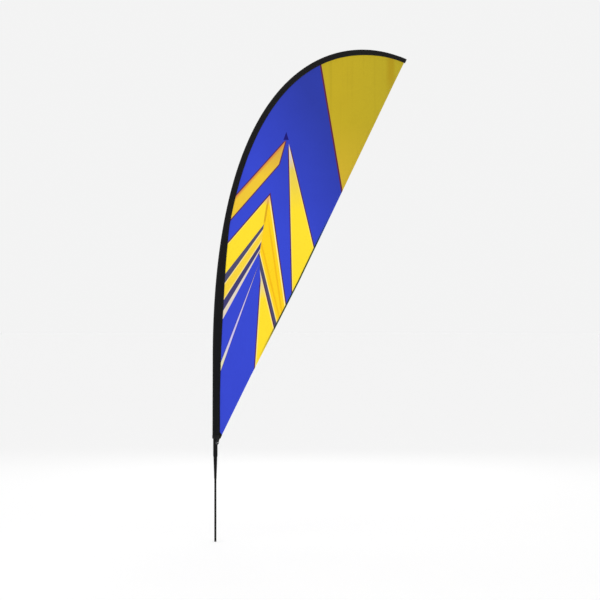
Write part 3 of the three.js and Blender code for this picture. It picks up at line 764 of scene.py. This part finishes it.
def tail_at(s):
    """How far the seam's edge stands from the pole's centre."""
    along = s - MOUTH
    step = eased(along, TAIL_STEP_AT, TAIL_STEP_AT + TAIL_STEP_LENGTH)
    plain = MOUTH_TAIL + (UPPER_TAIL - MOUTH_TAIL) * step
    plain += (TIP_TAIL - plain) * eased(s, POLE_END - TIP_NARROWING, POLE_END)
    reach = BELLY_BEFORE if along < BELLY_AT else BELLY_AFTER
    off = min(abs(along - BELLY_AT) / reach, 1)
    return plain + BELLY * math.cos(off * math.pi / 2) ** 2


def pucker(s, seed):
    """Small random waves along the sleeve, in metres."""
    small = noise.noise(Vector((s * 26, seed, 0))) * 0.9 * MM
    return small + noise.noise(Vector((s * 9, seed, 4))) * 1.1 * MM


def seam_at(s):
    """The width of the flat seam behind the pole."""
    return min(SEAM_WIDTH, (tail_at(s) - nose_at(s)) * 0.8)


def sleeve_spot(s, u, lift=0.0, flat=1.0, least=0.0):
    """A point on the sleeve at s, with u from the seam's front edge round the nose to its back edge."""
    nose, tail, seam = nose_at(s), tail_at(s), seam_at(s)
    side = -1 if u < 0.5 else 1
    share = abs(u - 0.5) * 2
    start = math.acos(nose / (tail - seam))
    arc = nose * (math.pi - start)
    slope = nose * math.tan(start)
    along = share * (arc + slope + seam)
    if along < arc:
        angle = math.pi - along / nose
        x, y = nose * math.cos(angle), nose * math.sin(angle)
        turn = (math.cos(angle), math.sin(angle))
    elif along < arc + slope:
        run = (along - arc) / slope
        x = nose * math.cos(start) + (tail - seam - nose * math.cos(start)) * run
        y = nose * math.sin(start) * (1 - run)
        turn = (math.cos(start), math.sin(start))
    else:
        x, y = tail - seam + along - arc - slope, 0
        turn = (0, 1)
    wave = pucker(s, side) * share * (1 - share) * 5.2
    x += turn[0] * (lift + wave * 0.3)
    y = max((y + turn[1] * (lift + wave)) * flat, least or SEAM_HALF + lift * 0.6)
    centre, _, inward = pole_frame(s)
    return centre + inward * x + Vector((0, side * y, 0))


def plain_weave(finish, where, pitch):
    """The height of a plain weave whose threads are pitch apart, from two of a place's axes."""
    over, up, _ = finish.parts(where)
    return (over * (2 * math.pi / pitch)).math("SINE") * (up * (2 * math.pi / pitch)).math("SINE")


def sleeve_cloth():
    finish = Finish("sleeve_cloth", Sheen_Weight=0.05, Sheen_Roughness=0.5, Specular_IOR_Level=0.12)
    where = finish.place("UV")
    weave = plain_weave(finish, where, 0.0011)
    cloud = finish.noise(finish.place(), 14.0, 4.0)
    lint = finish.noise(finish.place(), 900.0, 2.0)
    height = finish.parts(finish.place())[2]
    # Painted highlight: the black cloth grows paler and warmer towards the head.
    head_highlight = ((height - 0.9) * 0.5).clamped()
    dark = finish.mix(head_highlight, paint(5, 5, 7), paint(25, 23, 21))
    worn = (cloud * 0.6 + weave * 0.15 + lint * 0.2).clamped()
    finish.shade(Base_Color=finish.mix(worn, dark, paint(26, 26, 27)))
    finish.shade(Roughness=0.78 + cloud * 0.15)
    finish.bump(weave + lint * 0.8 + cloud, 0.5, 0.0003)
    return finish


black_cloth = sleeve_cloth()
SLEEVE_FOOT = MOUTH + 1.0 * MM
SLEEVE_TOP = POCKET_FOOT + 14.0 * MM
sleeve_length = SLEEVE_TOP - SLEEVE_FOOT
SLEEVE_GIRTH = 0.132
SLEEVE_ROWS = 460
sleeve_bm = sheet_of(CLOTH_COLUMNS, SLEEVE_ROWS,
                     lambda u, v: sleeve_spot(SLEEVE_FOOT + v * sleeve_length, u),
                     size=(SLEEVE_GIRTH, sleeve_length))
sleeve_area = sum(f.calc_area() for f in sleeve_bm.faces)
sleeve = piece("cloth_sleeve", sleeve_bm, "pole", black_cloth, ["pole_sleeve"])
thickened(sleeve, 0.6 * MM)

# ------------------------------------------------------------------ sleeve binding
# The mouth of the sleeve is bound with a strip of black webbing, folded over the raw edge and sewn
# through all its layers.
BIND_LIFT = 0.8 * MM
BIND_RISE = BIND_LIFT + 0.15 * MM
BINDING_GIRTH = 0.122
bind_rows = [(BIND_LIFT, BINDING_TOP), (BIND_RISE, BINDING_TOP - 1.2 * MM)]
bind_rows += [(BIND_RISE, BINDING_TOP - 9.0 * MM), (BIND_RISE, MOUTH + 1.4 * MM)]
bind_rows += [(0.6 * BIND_LIFT, MOUTH + 0.3 * MM), (0.0, MOUTH), (-0.6 * BIND_LIFT, MOUTH + 0.3 * MM)]
bind_rows += [(-BIND_LIFT, MOUTH + 1.4 * MM), (-BIND_LIFT, BINDING_TOP - 1.0 * MM)]


def binding_spot(u, v):
    lift, s = bind_rows[round(v * (len(bind_rows) - 1))]
    return sleeve_spot(s, u, lift)


binding_bm = sheet_of(CLOTH_COLUMNS, len(bind_rows) - 1, binding_spot, size=(BINDING_GIRTH, 0.04))
binding = piece("mouth_binding", binding_bm, "pole", web_cloth, ["sleeve_binding"])
thickened(binding, 0.5 * MM, level=1)

# ------------------------------------------------------------------ tip pocket
# The sleeve's end is doubled in the same black cloth, folded flat and sewn shut past the rod's cap.
# The cap pushes into it, which keeps the pole bent.
POCKET_GIRTH = 0.07
pocket_length = POLE_END - POCKET_FOOT


def pocket_spot(u, v):
    s = POCKET_FOOT + v * pocket_length
    flat = 1 - 0.84 * eased(s, CAP_TOP - 1.0 * MM, POLE_END - 2.0 * MM)
    least = (1.5 - 1.0 * eased(s, POLE_END - 5.0 * MM, POLE_END)) * MM
    return sleeve_spot(s, u, 0.7 * MM, flat, least)


POCKET_ROWS = 40
pocket_bm = sheet_of(CLOTH_COLUMNS, POCKET_ROWS, pocket_spot, size=(POCKET_GIRTH, pocket_length))
# Its last ring of edges is joined across the seam and filled, which closes the end.
end_centre, end_way, _ = pole_frame(POLE_END)
rim = [v for v in pocket_bm.verts if (v.co - end_centre).dot(end_way) > -1e-5]
end_edges = [e for e in pocket_bm.edges if e.verts[0] in rim and e.verts[1] in rim]
loose_ends = [v for v in rim if sum(e in end_edges for e in v.link_edges) == 1]
end_edges.append(pocket_bm.edges.new(loose_ends))
bmesh.ops.edgeloop_fill(pocket_bm, edges=end_edges)
bmesh.ops.recalc_face_normals(pocket_bm, faces=pocket_bm.faces)
pocket = piece("closed_pocket", pocket_bm, "pole", black_cloth, ["tip_pocket"])
thickened(pocket, 0.8 * MM)

# ------------------------------------------------------------------ printed panel
# One cut of light knitted polyester, printed in blue, yellow and slate, sewn into the sleeve's seam
# and pulled flat by the pole. Shallow folds run up from the foot and down from the tip.
LEECH_SETBACK = 6.0 * MM
LEECH_END = POLE_END - LEECH_SETBACK
TUCK = 5.0 * MM
HEM_INSET = 2.5 * MM
top_centre, _, top_inward = pole_frame(LEECH_END)
leech_top = top_centre + top_inward * (tail_at(LEECH_END) + 0.3 * MM)
leech_foot = Vector((MOUTH_TAIL + 0.9 * MM, 0, MOUTH))
leech_way = (leech_top - leech_foot).normalized()
leech_side = Vector((-leech_way.z, 0, leech_way.x))
LEECH_LENGTH = (leech_top - leech_foot).length
EDGE_BOW = 10.5 * MM
BOW_SHARES = (0.17, 0.42, 0.95)


def free_edge(share, inwards=0.0):
    """A point on the free edge, which the stretched cloth lets bow out a little above its lower third."""
    low, widest, high = BOW_SHARES
    out = EDGE_BOW * max(min((share - low) / (widest - low), (high - share) / (high - widest)), 0)
    return leech_foot.lerp(leech_top, share) + leech_side * (inwards - out)


def fold(angle, count, seed):
    """The height of folds that fan out of a corner, from -1 to 1, at an angle about it."""
    return math.sin(angle * count + seed) * 0.6 + math.sin(angle * count * 1.7 + seed * 2.3) * 0.4


def billow(x, z):
    """How far the cloth stands off its plane, at a place on the flag."""
    from_foot = Vector((x - leech_foot.x, z - leech_foot.z))
    from_tip = Vector((x - leech_top.x, z - leech_top.z))
    off_leech = max(Vector((x - leech_foot.x, 0, z - leech_foot.z)).dot(leech_side), 0)
    fan_low = math.atan2(from_foot.x, max(from_foot.y, 1e-4))
    fan_top = math.atan2(from_tip.x, min(from_tip.y, -1e-4))
    up, down = from_foot.length, from_tip.length
    low = fold(fan_low, 34, 0.4) * 2.0 * MM * eased(up, 0.05, 0.7) * (1 - eased(up, 0.8, 1.9))
    top = fold(fan_top, 15, 1.1) * 3.2 * MM * eased(down, 0.05, 0.45) * (1 - eased(down, 0.6, 1.5))
    belly = 6.0 * MM * eased(off_leech, 0.0, 0.3)
    soft = noise.noise(Vector((x * 3.1, z * 1.7, 2.0))) * 2.5 * MM
    return low + top + belly + soft


SEAM_STEP = 1.0 * MM
HELD = 0.14
seam_line = [MOUTH + k * SEAM_STEP for k in range(int((POLE_END - MOUTH) / SEAM_STEP))]
seam_tree = KDTree(len(seam_line))
for k, s in enumerate(seam_line):
    centre, _, inward = pole_frame(s)
    seam_tree.insert(centre + inward * tail_at(s), k)
seam_tree.balance()


def cloth_y(x, z):
    """The cloth's distance from its plane: nothing at the sleeve's seam, with small gathers beside it."""
    place = Vector((x, 0, z))
    seam, k, off = seam_tree.find(place)
    _, slope, inward = pole_frame(seam_line[k])
    if (place - seam).dot(inward) <= 0:
        return 0.0
    s = seam_line[k] + (place - seam).dot(slope)
    gathers = noise.noise(Vector((s * 19, 7.0, 0))) + 0.6 * noise.noise(Vector((s * 43, 9.0, 0)))
    gathers *= 1.5 * MM * eased(off, 0.006, 0.03) * (1 - eased(off, 0.03, 0.16))
    return billow(x, z) * eased(off, 0.0, HELD) + gathers


def cloth_spot(u, v):
    """A point of the panel, from the sleeve's seam to inside the hem's fold."""
    s = MOUTH + v * (LEECH_END - MOUTH)
    centre, _, inward = pole_frame(s)
    seam = centre + inward * (tail_at(s) - TUCK)
    spot = seam.lerp(free_edge(v, HEM_INSET), u)
    spot.y = cloth_y(spot.x, spot.z)
    return spot


def side_of(finish, where, start, end):
    """How far each place lies to the right of the line from start to end, in metres."""
    way = (Vector(end) - Vector(start)).normalized()
    facing = (way.y, 0.0, -way.x)
    offset = -(way.y * start[0] - way.x * start[1])
    along = finish.node("ShaderNodeVectorMath", {"operation": "DOT_PRODUCT"}, {0: where, 1: facing}, 1)
    return along + offset


def both(first, *others):
    for other in others:
        first = first.math("MINIMUM", other)
    return first


def either(first, *others):
    for other in others:
        first = first.math("MAXIMUM", other)
    return first


EDGE_SOFT = 1.1 * MM
BLUE = paint(52, 70, 206)
# The ground's blue with painted shade, used towards the head.
SHADED_BLUE = paint(42, 57, 163)
SLATE = paint(76, 74, 108)
DARK_SLATE = paint(64, 60, 114)
YELLOW = paint(252, 222, 44)
ORANGE = paint(251, 209, 24)
STREAK = paint(238, 178, 10)
AMBER = paint(232, 176, 112)
CREAM = paint(255, 232, 142)
# The field's yellow with painted shade, used towards the top.
SHADED_OLIVE = paint(192, 168, 32)
MAROON = paint(96, 32, 52)
OUTLINE = paint(84, 36, 72)
PALE = paint(226, 212, 192)
PINK = paint(206, 196, 236)


def printed_cloth():
    finish = Finish("printed_cloth", Sheen_Weight=0.03, Sheen_Roughness=0.5, Specular_IOR_Level=0.12)
    where = finish.place()
    across_way, _, height = finish.parts(where)

    def line(start, end):
        return side_of(finish, where, start, end)

    def inside(distance):
        return (distance / EDGE_SOFT + 0.5).clamped()

    def rim(distance, width):
        """A line of the given width just outside a shape."""
        return inside(distance + width) - inside(distance)

    def ramp(value, low, high):
        return ((value - low) / (high - low)).clamped()

    def edging(distance, width):
        """A line of the given width just inside a shape."""
        return inside(distance) - inside(distance - width)

    def filled(distance, ink):
        """The print so far, with a shape filled in over it."""
        return finish.mix(inside(distance), colour, ink)

    # Blue ground, with painted shade that makes it deeper towards the head.
    head = ramp(across_way * 0.5 + height * 0.3, 0.72, 1.015)
    colour = finish.mix(head, BLUE, SHADED_BLUE)

    # The plain field at the head, with painted shade that darkens it towards the top and the right, painted
    # fold shading in faint streaks, and a darker orange line near the tip.
    field = -line((0.5937, 2.672), (0.7116, 1.9727))
    colour = finish.mix(rim(field, 0.009), colour, MAROON)
    painted_fold_streaks = finish.noise(finish.stretched(where, (42.0, 1.0, 0.9)), 1.0, 2.0)
    # Painted shade: the field darkens towards the top and towards the right.
    field_colour = finish.mix(ramp(height, 2.0, 2.35), paint(206, 174, 44), SHADED_OLIVE)
    field_colour = finish.mix(ramp(across_way, 0.7, 1.0) * 0.6, field_colour, paint(174, 158, 34))
    # Painted fold shading, in faint darker streaks.
    field_colour = finish.mix(ramp(painted_fold_streaks, 0.55, 0.75) * 0.22, field_colour, paint(150, 128, 20))
    # A darker orange line near the tip.
    tip_line = ramp(across_way, 0.95, 0.975) * ramp(across_way, 1.01, 0.995) * ramp(height, 2.5, 2.6)
    field_colour = finish.mix(tip_line * 0.55, field_colour, paint(168, 134, 10))
    colour = filled(field, field_colour)

    # The small dark spear head.
    spear = both(line((0.383, 2.2517), (0.3973, 2.291)), line((0.3973, 2.291), (0.409, 2.2517)),
                 line((0.409, 2.2517), (0.383, 2.2517)))
    colour = filled(spear + 0.0015, paint(24, 18, 112))

    # The upper band, shaded amber along its top in the print, with painted shade that darkens it towards the
    # head.
    band_top = line((0.117, 1.9374), (0.392, 2.243))
    band = both(band_top, line((0.3556, 2.114), (0.0908, 1.8116)), line((0.392, 2.243), (0.3556, 2.114)))
    colour = finish.mix(rim(band, 0.006) * ramp(height, 2.25, 2.24), colour, OUTLINE)
    # Painted shade: the band darkens towards the head.
    band_colour = finish.mix(ramp(height, 2.05, 2.2), paint(238, 197, 52), paint(212, 166, 66))
    band_colour = finish.mix(ramp(band_top, 0.015, 0.002), band_colour, paint(214, 136, 62))
    colour = filled(band, band_colour)

    # The tall wedge at the free edge, with painted shade that darkens it upwards, nearly white at its point.
    wedge = both(line((0.4305, 1.4027), (0.4114, 2.228)), line((0.4114, 2.228), (0.5505, 1.6466)))
    colour = finish.mix(rim(wedge, 0.006) * ramp(height, 2.22, 2.19), colour, OUTLINE)
    # Painted shade: the yellow darkens towards the head.
    wedge_colour = finish.mix(ramp(height, 1.85, 2.1), YELLOW, paint(226, 200, 84))
    wedge_colour = finish.mix(ramp(height, 2.08, 2.2), wedge_colour, PINK)
    wedge_colour = finish.mix(edging(wedge, 0.004) * 0.5, wedge_colour, CREAM)
    colour = filled(wedge, wedge_colour)

    # The chevron: a left leg to the sleeve and a right leg to the free edge.
    above = line((0.075, 1.675), (0.3045, 1.941))
    right = line((0.3045, 1.941), (0.3919, 1.334))
    left_foot = line((0.272, 1.778), (0.064, 1.511))
    inner_high = line((0.247, 1.6128), (0.272, 1.778))
    inner_low = line((0.3426, 1.2228), (0.247, 1.6128))
    middle = line((0.272, 1.778), (0.293, 1.905))
    left_leg = both(above, left_foot, right)
    right_leg = both(above, right, inner_high, inner_low)
    chevron = either(left_leg, right_leg)
    colour = finish.mix(rim(chevron, 0.0062), colour, OUTLINE)
    core = both(right - 0.02, inner_low - 0.016)
    band_low = finish.mix(ramp(core, 0.0, 0.006) * ramp(height, 1.84, 1.7) * 0.8, ORANGE, STREAK)
    band_low = finish.mix(ramp(core, 0.008, 0.014), band_low, ORANGE)
    right_colour = finish.mix(edging(right, 0.007), band_low, CREAM)
    right_colour = finish.mix(edging(inner_low, 0.005), right_colour, CREAM)
    left_colour = finish.mix(edging(above, 0.004) * 0.5, YELLOW, CREAM)
    chevron_colour = finish.mix(inside(middle) * inside(inner_high), left_colour, right_colour)
    # A darker line just inside the chevron's middle, near its top.
    middle_line = edging(middle + 0.004, 0.01) * ramp(height, 1.77, 1.8)
    chevron_colour = finish.mix(middle_line * 0.75, chevron_colour, paint(206, 150, 22))
    chevron_colour = finish.mix(ramp(height, 1.885, 1.93), chevron_colour, AMBER)
    colour = filled(chevron, chevron_colour)

    # Stripes under the left leg, all running down to the sleeve.
    below_leg = -left_foot
    stripe_foot = line((0.2625, 1.743), (0.0556, 1.452))
    gold_foot = line((0.2545, 1.676), (0.0526, 1.3622))
    dark_foot = line((0.2475, 1.6345), (0.047, 1.298))
    pale_foot = line((0.2465, 1.6245), (0.046, 1.254))
    edge = -inner_high
    colour = filled(both(below_leg, stripe_foot, edge), SLATE)
    gold = both(-stripe_foot, gold_foot, edge)
    gold_colour = finish.mix(ramp(both(-stripe_foot, gold_foot), 0.001, 0.007), CREAM, paint(246, 211, 60))
    colour = filled(gold, gold_colour)
    colour = filled(both(-gold_foot, dark_foot, edge), DARK_SLATE)
    colour = filled(both(-dark_foot, pale_foot, edge), PALE)
    hair_top = line((0.2445, 1.557), (0.030, 1.0013))
    hair_foot = line((0.2435, 1.556), (0.030, 0.9585))
    hair = both(-hair_top, hair_foot)
    colour = finish.mix(rim(hair, 0.003) * ramp(height, 1.56, 1.5) * 0.7, colour, paint(60, 44, 128))
    hair_colour = finish.mix(ramp(height, 1.0, 1.12), paint(232, 226, 178), PINK)
    colour = filled(hair, hair_colour)

    # The lower wedge, with a slate stripe between it and the chevron's right leg.
    low_right = line((0.249, 1.5226), (0.3255, 1.2035))
    low_left = either(line((0.2227, 0.98), (0.254, 1.462)), line((0.254, 1.462), (0.249, 1.5226)))
    stripe = both(-inner_low, -low_right, line((0.249, 1.5226), (0.2462, 1.62)))
    colour = filled(stripe, SLATE)
    low_wedge = both(low_right, low_left, 1.5226 - height)
    colour = finish.mix(rim(low_wedge, 0.006) * ramp(height, 1.5, 1.44), colour, OUTLINE)
    low_colour = finish.mix(ramp(both(low_right, low_left), 0.001, 0.007), CREAM, paint(252, 221, 42))
    low_colour = finish.mix(ramp(height, 1.36, 1.5), low_colour, paint(216, 206, 176))
    colour = filled(low_wedge, low_colour)

    # A dark green line along the folded free edge, at the hem's stitch row, over its middle heights.
    low, widest, high = [(spot.x, spot.z) for spot in map(free_edge, BOW_SHARES)]
    to_edge = both(-line(low, widest), -line(widest, high))
    edge_line = ramp(to_edge, 0.0088, 0.0072) * ramp(height, 1.02, 1.22) * ramp(height, 1.85, 1.66)
    colour = finish.mix(edge_line * 0.95, colour, paint(6, 54, 22))

    # Uneven ink and the knit's own shade.
    cloud = finish.noise(where, 5.0, 4.0, 0.5)
    rows = finish.node("ShaderNodeCombineXYZ", {}, {0: across_way, 1: height, 2: 0.0})
    knit = plain_weave(finish, rows, 0.0012)
    shade = (cloud - 0.5) * 0.16 + knit * 0.03 + 0.5
    grey = finish.node("ShaderNodeCombineColor", {}, {0: shade, 1: shade, 2: shade})
    colour = finish.mix(0.6, colour, grey, "SOFT_LIGHT")
    finish.shade(Base_Color=colour, Roughness=0.62 + cloud * 0.16)
    finish.bump(knit + cloud * 0.5, 0.35, 0.00025)
    return finish


print_cloth = printed_cloth()
PANEL_COLUMNS = 90
PANEL_ROWS = 300
panel_bm = sheet_of(PANEL_COLUMNS, PANEL_ROWS, cloth_spot, size=(1.0, LEECH_LENGTH))
panel_area = sum(f.calc_area() for f in panel_bm.faces)
panel = piece("cloth_panel", panel_bm, "pole", print_cloth, ["flag_panel"], sharp=80)
thickened(panel, 0.35 * MM)

# ------------------------------------------------------------------ free edge hem
# The free edge is turned over twice to a 12 mm hem, with the raw edge inside, and sewn down in one
# row of stitches.
HEM_WIDTH = 12.0 * MM
HEM_HALF = 0.75 * MM
HEM_ROWS = 420
HEM_START = 0.002
HEM_STOP = 1.0015
hem_section = [(-HEM_WIDTH, -HEM_HALF * 0.62), (-HEM_WIDTH * 0.95, -HEM_HALF * 0.9)]
hem_section += [(-HEM_WIDTH * 0.84, -HEM_HALF * 0.85), (-HEM_WIDTH * 0.72, -HEM_HALF * 0.6)]
hem_section += [(-HEM_WIDTH * 0.6, -HEM_HALF * 0.85), (-HEM_WIDTH * 0.35, -HEM_HALF * 0.95)]
for k in range(7):
    angle = -math.pi / 2 + math.pi * k / 6
    hem_section.append((HEM_HALF * math.cos(angle) - HEM_HALF, HEM_HALF * math.sin(angle)))
hem_section += [(out, -off) for out, off in reversed(hem_section[:6])]


def on_hem(share, inwards, off):
    """A point of the hem: share of the free edge's length, how far in from it, and how far off the cloth."""
    spot = free_edge(share, inwards)
    ripple = noise.noise(Vector(((share - HEM_START) / (HEM_STOP - HEM_START) * 60, 3, 1))) * 0.25 * MM
    spot.y = cloth_y(spot.x, spot.z) + off + ripple
    return spot


def hem_spot(u, v):
    out, off = hem_section[round(u * (len(hem_section) - 1))]
    share = HEM_START + v * (HEM_STOP - HEM_START)
    return on_hem(share, -out, off * (1 + 0.12 * math.sin(v * 900)))


hem_bm = sheet_of(len(hem_section) - 1, HEM_ROWS, hem_spot, size=(0.025, LEECH_LENGTH))
hem = piece("edge_hem", hem_bm, "pole", print_cloth, ["leech_hem"], sharp=80)
thickened(hem, 0.4 * MM)

# ------------------------------------------------------------------ corner patch
# The foot of the flag is doubled on both faces with black cloth, sewn on over the print where the
# strap pulls on it.
PATCH_TOP = MOUTH + 37.0 * MM
PATCH_SLOPE = 17.0 * MM
PATCH_LAP = 4.0 * MM
PATCH_PAST_EDGE = 1.6 * MM


def patch_spot(side, off=1.35 * MM):
    """Places a point of one face's patch, with u from the seam to the free edge and v up from the foot."""
    def place(u, v):
        top = PATCH_TOP - PATCH_SLOPE * u
        z = MOUTH - 1.0 * MM + v * (top - MOUTH)
        edge_x = leech_foot.x + (z - MOUTH) * leech_way.x / leech_way.z + PATCH_PAST_EDGE
        seam_x = tail_at(z) - PATCH_LAP
        return Vector((seam_x + u * (edge_x - seam_x), side * off, z))
    return place


FACES = (("front", -1), ("back", 1))
for face, side in FACES:
    patch_bm = sheet_of(16, 24, patch_spot(side), size=(0.02, 0.037))
    patched = ["tack_patch"] if face == "front" else []
    patch = piece("patch_" + face, patch_bm, "pole", black_cloth, patched)
    thickened(patch, 0.6 * MM)

# ------------------------------------------------------------------ stitching
# Lock stitches in polyester thread: two rows down each face of the sleeve's seam, one row along the
# hem, two round the binding, a boxed cross on the strap and short rows on the pocket and patches.
STITCH = 3.2 * MM
SHOWN = 0.75
THREAD_HALF = 0.28 * MM
THREAD_RISE = 0.2 * MM
SEAM_ROW_INSET = 10.0 * MM
HEM_ROW_START = 0.018
HEM_ROW_SHARE = 0.98


def sewing_thread(name, dark, light):
    finish = Finish(name, Sheen_Weight=0.2, Specular_IOR_Level=0.45)
    where = finish.place()
    twist = finish.noise(where, 3200.0, 1.0)
    shade = finish.noise(where, 40.0, 2.0)
    finish.shade(Base_Color=finish.mix(shade, dark, light), Roughness=0.5 + shade * 0.2)
    finish.bump(twist, 0.4, 0.0001)
    return finish


def stitches(path):
    """Places one stitch for each entry of a path: its two ends and which way is out."""
    stitch = bmesh.new()
    bmesh.ops.create_icosphere(stitch, subdivisions=1, radius=1.0)
    model = bpy.data.meshes.new("stitch")
    stitch.to_mesh(model)
    stitch.free()
    joined = bmesh.new()
    for start, end, out in path:
        way = end - start
        half = way.length / 2
        side = out.cross(way).normalized()
        up = way.cross(side).normalized()
        turn = Matrix((way.normalized(), side, up)).transposed().to_4x4()
        size = Matrix.Diagonal((half, THREAD_HALF, THREAD_RISE, 1))
        put = Matrix.Translation((start + end) / 2) @ turn @ size
        model.transform(put)
        joined.from_mesh(model)
        model.transform(put.inverted())
    bpy.data.meshes.remove(model)
    return joined


def row(count, spot, out):
    """A path of count stitches, where spot(k) is the place k stitches along it."""
    for k in range(count):
        yield spot(k), spot(k + SHOWN), out


def rows_between(pairs, pitch, place, out):
    """Straight rows between pairs of corners, which place puts on the cloth."""
    for start, end in pairs:
        start, end = Vector(start), Vector(end)
        count = max(2, int((place(*end) - place(*start)).length / pitch))
        yield from row(count, lambda k: place(*start.lerp(end, k / count)), out)


def row_round(s, count, lift, left_out=0):
    """Round the sleeve at s, from one side of its seam to the other."""
    centre = pole_frame(s)[0]
    for k in range(left_out, count - left_out):
        start, end = [sleeve_spot(s, (k + part) / count, lift) for part in (0.1, 0.1 + SHOWN)]
        yield start, end, ((start + end) / 2 - centre).normalized()


def seam_row(offset, side):
    out = Vector((0, side, 0))

    def spot(k):
        s = SLEEVE_FOOT + SEAM_ROW_INSET + k * STITCH
        centre, _, inward = pole_frame(s)
        return centre + inward * (tail_at(s) - seam_at(s) * offset) + out * (SEAM_HALF + 0.42 * MM)

    return row(int((sleeve_length - 2 * SEAM_ROW_INSET) / STITCH), spot, out)


def hem_row(side):
    count = int(LEECH_LENGTH * 0.97 / STITCH)
    off = side * (HEM_HALF * 0.6 + 0.26 * MM)

    def spot(k):
        return on_hem(HEM_ROW_START + HEM_ROW_SHARE * k / count, HEM_WIDTH * 0.72, off)

    return row(count, spot, Vector((0, side, 0)))


def binding_row(drop):
    s = BINDING_TOP - drop
    girth = 2 * (nose_at(s) * 2.3 + 18 * MM)
    return row_round(s, int(girth / STITCH), BIND_LIFT + 0.5 * MM)


def box_cross():
    low, high = BAR_Z + 5.5 * MM, MOUTH - 2.5 * MM
    left, right = -STRAP_HALF + 2.0 * MM, STRAP_HALF - 1.0 * MM
    corners = [(left, low), (right, low), (right, high), (left, high)]
    legs = list(zip(corners, corners[1:] + corners[:1]))
    legs += [(corners[0], corners[2]), (corners[1], corners[3])]

    def on_strap(x, z):
        return out_of_tube(RING_OUT + WEB_HALF + 0.75 * MM, x, z)

    return rows_between(legs, 2.4 * MM, on_strap, out_of_tube(1, 0, 0))


def pocket_row():
    """A short row across each face of the pocket's folded end."""
    count = 6
    centre, _, inward = pole_frame(POLE_END - 4.0 * MM)
    for side in (-1, 1):
        off = Vector((0, side * 3.4 * MM, 0))
        for k in range(count):
            x = -7.0 * MM + 20.0 * MM * k / count
            yield centre + inward * x + off, centre + inward * (x + 2.4 * MM) + off, Vector((0, side, 0))


def patch_row(side):
    """Along the patch's top, then down beside the hem."""
    corners = [(0.3, 0.93), (0.86, 0.9), (0.86, 0.55), (0.86, 0.12)]
    legs = zip(corners, corners[1:])
    return rows_between(legs, 2.6 * MM, patch_spot(side, 1.78 * MM), Vector((0, side, 0)))


black_thread = sewing_thread("black_thread", paint(34, 34, 35), paint(70, 70, 72))
grey_thread = sewing_thread("grey_thread", paint(60, 60, 62), paint(96, 96, 98))
hem_thread = sewing_thread("hem_thread", paint(84, 86, 104), paint(122, 124, 140))


def sewn(name, path, thread=black_thread):
    piece(name, stitches(path), "pole", thread)


for number, offset in enumerate((0.22, 0.72)):
    for face, side in FACES:
        sewn(f"seam_row_{number}_{face}", seam_row(offset, side))
for face, side in FACES:
    sewn(f"hem_row_{face}", hem_row(side), hem_thread)
sewn("binding_row_0", binding_row(3.0 * MM))
sewn("binding_row_1", binding_row(14.5 * MM), grey_thread)
sewn("strap_stitching", box_cross())
sewn("pocket_stitching", pocket_row())
sewn("pocket_foot_stitching", row_round(POCKET_FOOT + 3.0 * MM, 17, 1.35 * MM, left_out=1))
for face, side in FACES:
    sewn(f"patch_row_{face}", patch_row(side))
